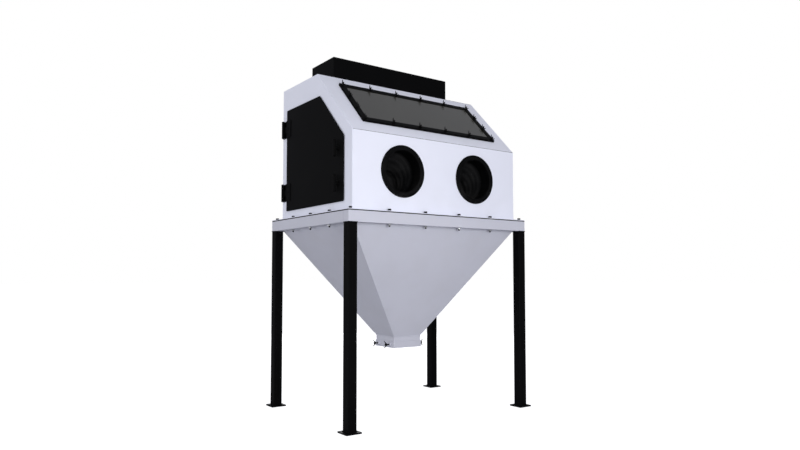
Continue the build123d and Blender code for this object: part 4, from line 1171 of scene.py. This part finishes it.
@dataclass
class Chamber:
    """The sheet-steel walls of the blasting chamber, and the floor grate inside."""

    # radius of the black bead that paints the shade in the grooves at the bend and the ridge
    shade_line_radius: float = 0.7 * MM

    def build(self, shop: Workshop) -> None:
        """Finishes the walls and the grate."""
        shop.refine_all(
            front_panel=0.7, window_panel=0.7, roof_panel=0.7, back_panel=0.7,
            left_side_panel=1.2, right_side_panel=1.2, grate_ledges=0.5, work_grate=0.7,
        )
        self.seams(shop)

    def seams(self, shop: Workshop) -> None:
        """Draws a thin black bead along the bend and the ridge, between the side walls: painted shade for the
        groove between the panels there.
        """
        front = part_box("front_panel")
        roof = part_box("roof_panel")
        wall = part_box("left_side_panel")[1].x
        runs = []
        for y, z in ((front[0].y, front[1].z), (roof[0].y, roof[1].z)):
            start, end = Vector((wall, y, z)), Vector((-wall, y, z))
            inside = Vector((0, self.shade_line_radius * 0.2, -self.shade_line_radius * 0.35))
            runs.append(weld_bead("painted_shade_seam", start + inside, end + inside, self.shade_line_radius))
        # the bead is black so that it reads as painted shade in the grooves
        shop.fit(join(runs, "painted_shade_seam"), "cabinet", "black_rubber")


@dataclass
class Window:
    """The sloping window: seal, tinted glass, clamping frame, studs and wing nuts."""

    across: int = 6
    deep: int = 4
    bar: float = 25 * MM
    stack: float = 9.5 * MM
    frame: float = 2.5 * MM
    stud_radius: float = 3 * MM
    stud_length: float = 23 * MM
    thread_depth: float = 0.4 * MM
    thread_pitch: float = 1 * MM
    wing_span: float = 32 * MM
    wing_height: float = 16 * MM
    wing_hub: float = 6 * MM

    def places(self) -> list[Matrix]:
        """Where each stud leaves the panel, with Z outwards and Y up the slope."""
        low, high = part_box("window_frame")
        out = Vector((0, -math.sin(SLOPE), math.cos(SLOPE)))
        centre = (low + high) / 2 - out * (self.stack - self.frame / 2)
        length = (high.z - low.z - self.frame * math.cos(SLOPE)) / math.sin(SLOPE)
        half_x, half_y = (high.x - low.x - self.bar) / 2, (length - self.bar) / 2
        turn = Matrix.Rotation(SLOPE, 4, "X")
        spots = round_the_edge(half_x, half_y, self.across, self.deep)
        return [Matrix.Translation(centre) @ turn @ Matrix.Translation((x, y, 0)) for x, y in spots]

    def build(self, shop: Workshop) -> None:
        """Finishes the seal, glass and frame, and makes studs and wing nuts."""
        shop.refine_all(window_gasket=0.5, window_glass=0.5, window_frame=0.7)
        places = self.places()
        crests = thread(
            self.stud_radius, self.thread_depth, self.thread_pitch, self.stud_length,
            self.stud_length - self.stack,
        )
        stud = turned(
            "window_studs_finished",
            [(self.stud_radius * 0.8, self.stud_length)]
            + crests
            + [(self.stud_radius, self.stack), (self.stud_radius, 0)],
            segments=16,
        )
        smooth(stud, 70)
        made = copies(stud, places, "window_studs_finished")
        shop.stand_for(made, "window_studs")
        nut = winged_head(
            "window_wing_nuts_finished", self.wing_span, self.wing_height, self.wing_hub, self.stud_radius
        )
        seats = [place @ Matrix.Translation((0, 0, self.stack)) for place in places]
        made = copies(nut, seats, "window_wing_nuts_finished")
        shop.stand_for(made, "window_wing_nuts")


@dataclass
class ArmPorts:
    """Two port rings, their screws, and the gauntlets clamped on the rings' sleeves."""

    screw_circle: float = 99.5 * MM
    screws: int = 6
    screw_radius: float = 4.2 * MM
    screw_height: float = 2.4 * MM
    sleeve: float = 93 * MM
    cuff_start: float = 18 * MM
    skin: float = 2 * MM
    segments: int = 48
    ring_step: float = 6 * MM
    fade: float = 40 * MM
    fine_crease: float = 0.028
    slow_crease: float = 0.012
    crumple: float = 9 * MM
    drop: tuple[float, ...] = (0, 0, 40 * MM, 96 * MM, 122 * MM)
    depth: tuple[float, ...] = (18 * MM, 59 * MM, 150 * MM, 245 * MM, 318 * MM)
    half_width: tuple[float, ...] = (93 * MM, 93 * MM, 76 * MM, 56 * MM, 45 * MM)
    half_height: tuple[float, ...] = (93 * MM, 93 * MM, 72 * MM, 46 * MM, 27 * MM)

    def build(self, shop: Workshop) -> None:
        """Builds both sides."""
        for side in ("left", "right"):
            shop.refine(f"port_ring_{side}", edge=0.4, angle=50)
            self.glove(shop, side)
        shop.refine("glove_clamps", edge=0.3)
        self.port_screws(shop)

    def port_screws(self, shop: Workshop) -> None:
        """Makes the domed screws round both rings."""
        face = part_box("port_ring_left")[0].y
        head = screw_head("port_screws_finished", self.screw_radius, self.screw_height)
        places = []
        for side in ("left", "right"):
            centre = middle(f"port_ring_{side}")
            for i in range(self.screws):
                turn = math.tau * i / self.screws + math.tau / 4
                x = centre.x + self.screw_circle * math.cos(turn)
                z = centre.z + self.screw_circle * math.sin(turn)
                places.append(Matrix.Translation((x, face, z)) @ Matrix.Rotation(math.radians(90), 4, "X"))
        made = copies(head, places, "port_screws_finished")
        shop.stand_for(made, "port_screws")

    def along(self, values: tuple[float, ...], depth: float) -> float:
        """Reads a section value at a depth, smoothly between the sections.

        Args:
            values: the value at each section's depth.
            depth: where to read it.

        Returns:
            The value there.
        """
        for i in range(1, len(self.depth)):
            if depth <= self.depth[i]:
                share = (depth - self.depth[i - 1]) / (self.depth[i] - self.depth[i - 1])
                share = share * share * (3 - 2 * share)
                return values[i - 1] + (values[i] - values[i - 1]) * share
        return values[-1]

    def glove(self, shop: Workshop, side: str) -> None:
        """Makes one gauntlet: a creased sleeve from the ring down to a hand that lies on the grate.

        Args:
            shop: the workshop.
            side: left or right.
        """
        centre = middle(f"port_ring_{side}")
        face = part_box(f"port_ring_{side}")[0].y
        name = f"glove_{side}_finished"
        sleeve = primitive(
            bpy.ops.mesh.primitive_circle_add, name, vertices=self.segments, radius=self.sleeve,
            fill_type="NOTHING", location=(centre.x, face + self.cuff_start, centre.z),
            rotation=(math.radians(90), 0, 0),
        )
        settle(sleeve)
        bpy.ops.object.mode_set(mode="EDIT")
        bpy.ops.mesh.select_all(action="SELECT")
        steps = int((self.depth[-1] - self.cuff_start) / self.ring_step)
        wide = high = self.sleeve
        fall = 0.0
        for i in range(1, steps + 1):
            depth = self.cuff_start + i * self.ring_step
            beyond = min(1.0, max(0.0, (depth - self.depth[1]) / self.fade))
            fine = self.fine_crease * (1 + math.sin(i * 1.9))
            slow = self.slow_crease * math.sin(i * 0.7)
            crease = 1 - beyond * (fine + slow)
            new_wide = self.along(self.half_width, depth) * crease
            new_high = self.along(self.half_height, depth) * crease
            new_fall = self.along(self.drop, depth)
            bpy.ops.mesh.extrude_edges_move(
                TRANSFORM_OT_translate={"value": (0, self.ring_step, fall - new_fall)}
            )
            bpy.ops.transform.resize(
                value=(new_wide / wide, 1, new_high / high),
                center_override=(centre.x, face + depth, centre.z - new_fall),
            )
            wide, high, fall = new_wide, new_high, new_fall
        bpy.ops.mesh.select_all(action="SELECT")
        bpy.ops.mesh.normals_make_consistent(inside=False)
        close_edit()
        crumple = bpy.data.textures.get("rubber_crumple") or bpy.data.textures.new("rubber_crumple", "CLOUDS")
        crumple.noise_scale = 0.05
        beyond_ring = sleeve.vertex_groups.new(name="beyond_ring")
        for vertex in sleeve.data.vertices:
            share = min(1.0, max(0.0, (vertex.co.y - face - self.depth[1] - 12 * MM) / (50 * MM)))
            beyond_ring.add([vertex.index], share, "REPLACE")
        apply_modifier(
            sleeve, "DISPLACE", texture=crumple, strength=-self.crumple, mid_level=0.35,
            texture_coords="LOCAL", vertex_group="beyond_ring",
        )
        apply_modifier(sleeve, "SOLIDIFY", thickness=self.skin, offset=-1)
        hand = self.hand(name, centre.x, face + self.depth[-1], centre.z - fall, side)
        made = join([sleeve, hand], name)
        smooth(made, 70)
        shop.stand_for(made, f"glove_{side}")

    def hand(self, name: str, x: float, y: float, z: float, side: str) -> bpy.types.Object:
        """Makes the half-closed hand at the sleeve's end.

        Args:
            name: the glove's name.
            x: the wrist's place across.
            y: the wrist's place into the chamber.
            z: the wrist's height.
            side: left or right, which says where the thumb is.

        Returns:
            The hand as one closed skin.
        """
        palm = primitive(
            bpy.ops.mesh.primitive_uv_sphere_add, name, segments=32, ring_count=20, radius=1,
            location=(x, y + 26 * MM, z - 6 * MM), scale=(43 * MM, 52 * MM, 21 * MM),
        )
        parts = [settle(palm)]
        for finger in range(4):
            offset = (finger - 1.5) * 20 * MM
            reach = (60, 68, 66, 54)[finger] * MM
            parts.append(
                self.digit(
                    name, Vector((x + offset * 0.9, y + 48 * MM, z - 8 * MM)),
                    Vector((x + offset * 1.02, y + 48 * MM + reach, z - 12 * MM)), 10.5 * MM,
                )
            )
        inward = 1 if side == "left" else -1
        parts.append(
            self.digit(
                name, Vector((x + inward * 26 * MM, y + 10 * MM, z - 6 * MM)),
                Vector((x + inward * 47 * MM, y + 58 * MM, z - 10 * MM)), 11 * MM,
            )
        )
        hand = join(parts, name)
        apply_modifier(hand, "REMESH", mode="VOXEL", voxel_size=2.6 * MM)
        apply_modifier(hand, "SMOOTH", factor=0.5, iterations=6)
        return hand

    def digit(self, name: str, root: Vector, tip: Vector, radius: float) -> bpy.types.Object:
        """Makes one finger as a rounded stick from root to tip.

        Args:
            name: the glove's name.
            root: where it leaves the palm.
            tip: its end.
            radius: its radius.

        Returns:
            The finger.
        """
        along = tip - root
        finger = primitive(
            bpy.ops.mesh.primitive_cylinder_add, name, vertices=16, radius=radius, depth=along.length,
            location=(root + tip) / 2, rotation=along.to_track_quat("Z", "Y").to_euler(),
        )
        settle(finger)
        apply_modifier(finger, "BEVEL", width=radius * 0.8, segments=4, limit_method="ANGLE", angle_limit=1.0)
        return finger


@dataclass
class Door:
    """The side door with its seal, hinges and quarter-turn latches."""

    hinge: float = 80 * MM
    screw_radius: float = 4 * MM
    screw_height: float = 1.6 * MM
    screw_rise: float = 26 * MM
    leaf: float = 42 * MM
    leaf_thickness: float = 2.5 * MM
    wall_screw_inset: float = 7.5 * MM

    def build(self, shop: Workshop) -> None:
        """Finishes the door's pieces."""
        shop.refine_all(
            door_panel=1.2, door_seal=0.6, door_hinge_leaves=0.5, cabinet_hinge_leaves=0.5,
            hinge_pins=0.6, latch_bushings=0.7,
        )
        shop.refine("latch_lower", edge=0.8, angle=50)
        shop.refine("latch_upper", edge=0.8, angle=50)
        self.hinge_screws(shop)

    def hinge_screws(self, shop: Workshop) -> None:
        """Puts screws in the hinge leaves, three on the door's and two on the cabinet's."""
        outwards = Matrix.Rotation(math.radians(-90), 4, "Y")
        door_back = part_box("door_panel")[1].y
        door_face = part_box("door_panel")[0].x - self.leaf_thickness
        wall_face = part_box("left_side_panel")[0].x - self.leaf_thickness
        wall_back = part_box("left_side_panel")[1].y
        low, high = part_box("door_hinge_leaves")
        heights = (low.z + self.hinge / 2, high.z - self.hinge / 2)
        sets = (
            ("door_hinge_screws", "door", door_face, door_back - self.leaf / 2, (-1, 0, 1)),
            ("cabinet_hinge_screws", "cabinet", wall_face, wall_back - self.wall_screw_inset, (-1, 1)),
        )
        for name, body, x, y, rows in sets:
            head = screw_head(name, self.screw_radius, self.screw_height)
            places = [
                Matrix.Translation((x, y, height + row * self.screw_rise)) @ outwards
                for height in heights
                for row in rows
            ]
            shop.fit(copies(head, places, name), body, "black_oxide")


@dataclass
class Gun:
    """The blast gun that lies on the grate."""

    def build(self, shop: Workshop) -> None:
        """Finishes the gun's pieces."""
        shop.refine("gun_body", edge=0.5, angle=40)
        shop.refine_all(gun_nozzle=0.7, gun_trigger=1.0, trigger_pin=0.3)


@dataclass
class LightBox:
    """The lamp housing on the roof, its glass, battens, switch and cable gland."""

    weld: float = 1.5 * MM
    weld_rise: float = 0.45 * MM

    def build(self, shop: Workshop) -> None:
        """Finishes the light box and welds it to the roof."""
        shop.refine_all(
            lamp_housing=1.6, lamp_glass=0.5, lamp_battens=0.6, switch_bezel=0.6, switch_rocker=0.6,
            cable_gland=0.7,
        )
        beads = weld_ring("lamp_housing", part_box("lamp_housing")[0].z + self.weld_rise, self.weld)
        shop.fit(join(beads, "lamp_housing_weld"), "cabinet", "black_paint")


@dataclass
class Services:
    """The exhaust spigot and the air inlet on the back wall."""

    spigot: float = 50 * MM
    wall: float = 2 * MM
    bead: float = 1.6 * MM
    bead_half_length: float = 3 * MM
    bead_from_end: float = 9 * MM
    flange: float = 64 * MM
    flange_thickness: float = 3 * MM
    fillet: float = 1.5 * MM

    def build(self, shop: Workshop) -> None:
        """Makes the spigot with its rolled bead and finishes the inlet."""
        low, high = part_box("exhaust_spigot")
        length = high.y - low.y
        inner = self.spigot - self.wall
        bead_at = length - self.bead_from_end
        profile = [(inner, 0), (self.flange, 0), (self.flange, self.flange_thickness)]
        profile.append((self.spigot + self.fillet, self.flange_thickness))
        profile.append((self.spigot, self.flange_thickness + self.fillet))
        for step in range(9):
            turn = math.pi * step / 8
            height = bead_at - self.bead_half_length * math.cos(turn)
            profile.append((self.spigot + self.bead * math.sin(turn), height))
        profile += [(self.spigot, length), (inner, length)]
        spigot = turned("exhaust_spigot_finished", profile, segments=96, ring=True)
        centre = middle("exhaust_spigot")
        spigot.data.transform(
            Matrix.Translation((centre.x, low.y, centre.z)) @ Matrix.Rotation(math.radians(-90), 4, "X")
        )
        smooth(spigot, 35)
        shop.stand_for(spigot, "exhaust_spigot")
        shop.refine("air_inlet", edge=0.6)


# ---------------------------------------------------------------- floor, light and camera


@dataclass(frozen=True)
class Lamp:
    """One soft round light: where it stands round the cabinet, its height, size and power in watts."""

    name: str
    azimuth: float
    height: float
    distance: float
    size: float
    power: float


@dataclass
class Studio:
    """A white floor and backdrop, three soft lights, and the camera."""

    azimuth: float = -35.3
    elevation: float = -2.99
    distance: float = 3.0702
    target_height: float = 0.7553
    lens: float = 29.43
    shift_x: float = 0.00245
    shift_y: float = 0.0225
    ambient: tuple[float, float, float] = (0.42, 0.425, 0.46)
    lamps: tuple[Lamp, ...] = (
        Lamp("key", azimuth=-16, height=0.95, distance=3.0, size=1.5, power=46),
        Lamp("left_fill", azimuth=-98, height=0.7, distance=4.0, size=2.5, power=48),
        Lamp("back_fill", azimuth=150, height=1.2, distance=4.0, size=2.5, power=60),
    )

    def build(self) -> None:
        """Makes the whole studio."""
        self.camera()
        self.world()
        self.floor()
        for lamp in self.lamps:
            self.light(lamp)
        bpy.context.scene.view_settings.view_transform = "Standard"

    def camera(self) -> None:
        """Aims the camera at the cabinet's middle."""
        data = bpy.data.cameras.new("camera")
        data.sensor_width = 36
        data.lens = self.lens
        data.shift_x = self.shift_x
        data.shift_y = self.shift_y
        data.clip_end = 200
        camera = bpy.data.objects.new("camera", data)
        bpy.context.scene.collection.objects.link(camera)
        turn, rise = math.radians(self.azimuth), math.radians(self.elevation)
        back = Vector((math.sin(turn) * math.cos(rise), -math.cos(turn) * math.cos(rise), math.sin(rise)))
        camera.location = Vector((0, 0, self.target_height)) + back * self.distance
        camera.rotation_euler = (-back).to_track_quat("-Z", "Y").to_euler()
        bpy.context.scene.camera = camera

    def world(self) -> None:
        """A white backdrop to the camera that lights the object more gently."""
        world = bpy.data.worlds.new("studio")
        world.use_nodes = True
        bpy.context.scene.world = world
        wires = Links(world.node_tree)
        path = wires.node("LightPath")
        colour = wires.mix(path.outputs["Is Camera Ray"], self.ambient, (1.0, 1.0, 1.0))
        background = wires.node("Background")
        wires.link(colour, background.inputs["Color"])
        output = wires.node("OutputWorld")
        wires.link(background.outputs["Background"], output.inputs["Surface"])

    def floor(self) -> None:
        """A wide white floor that keeps the faint shadows under the feet."""
        floor = primitive(bpy.ops.mesh.primitive_plane_add, "floor", size=120, location=(0, 0, 0))
        material = bpy.data.materials.new("studio_floor")
        material.use_nodes = True
        wires = Links(material.node_tree)
        path = wires.node("LightPath")
        diffuse = wires.node("BsdfDiffuse", in_Color=(0.5, 0.505, 0.53, 1.0))
        glow = wires.node("Emission")
        wires.link(wires.calc("MULTIPLY", path.outputs["Is Camera Ray"], 0.86), glow.inputs["Strength"])
        both = wires.node("AddShader")
        wires.link(diffuse.outputs["BSDF"], both.inputs[0])
        wires.link(glow.outputs["Emission"], both.inputs[1])
        output = wires.node("OutputMaterial")
        wires.link(both.outputs["Shader"], output.inputs["Surface"])
        floor.data.materials.append(material)

    def light(self, lamp: Lamp) -> None:
        """Hangs one soft light, facing the cabinet."""
        data = bpy.data.lights.new(lamp.name, "AREA")
        data.shape = "DISK"
        data.size = lamp.size
        data.energy = lamp.power
        light = bpy.data.objects.new(lamp.name, data)
        bpy.context.scene.collection.objects.link(light)
        turn = math.radians(lamp.azimuth)
        back = Vector((math.sin(turn), -math.cos(turn), 0.0))
        light.location = Vector((0, 0, lamp.height)) + back * lamp.distance
        light.rotation_euler = (-back).to_track_quat("-Z", "Y").to_euler()
        light.visible_camera = False


def main() -> None:
    """Builds the studio and every sub-assembly in order."""
    logging.basicConfig(level=logging.INFO, format="%(name)s: %(message)s")
    Studio().build()
    shop = Workshop()
    for assembly in (
        Stand(), Hopper(), Flange(), Chamber(), Window(), ArmPorts(), Door(), Gun(), LightBox(), Services()
    ):
        assembly.build(shop)
        log.info("%s is finished", type(assembly).__name__)


if __name__ == "__main__":
    main()
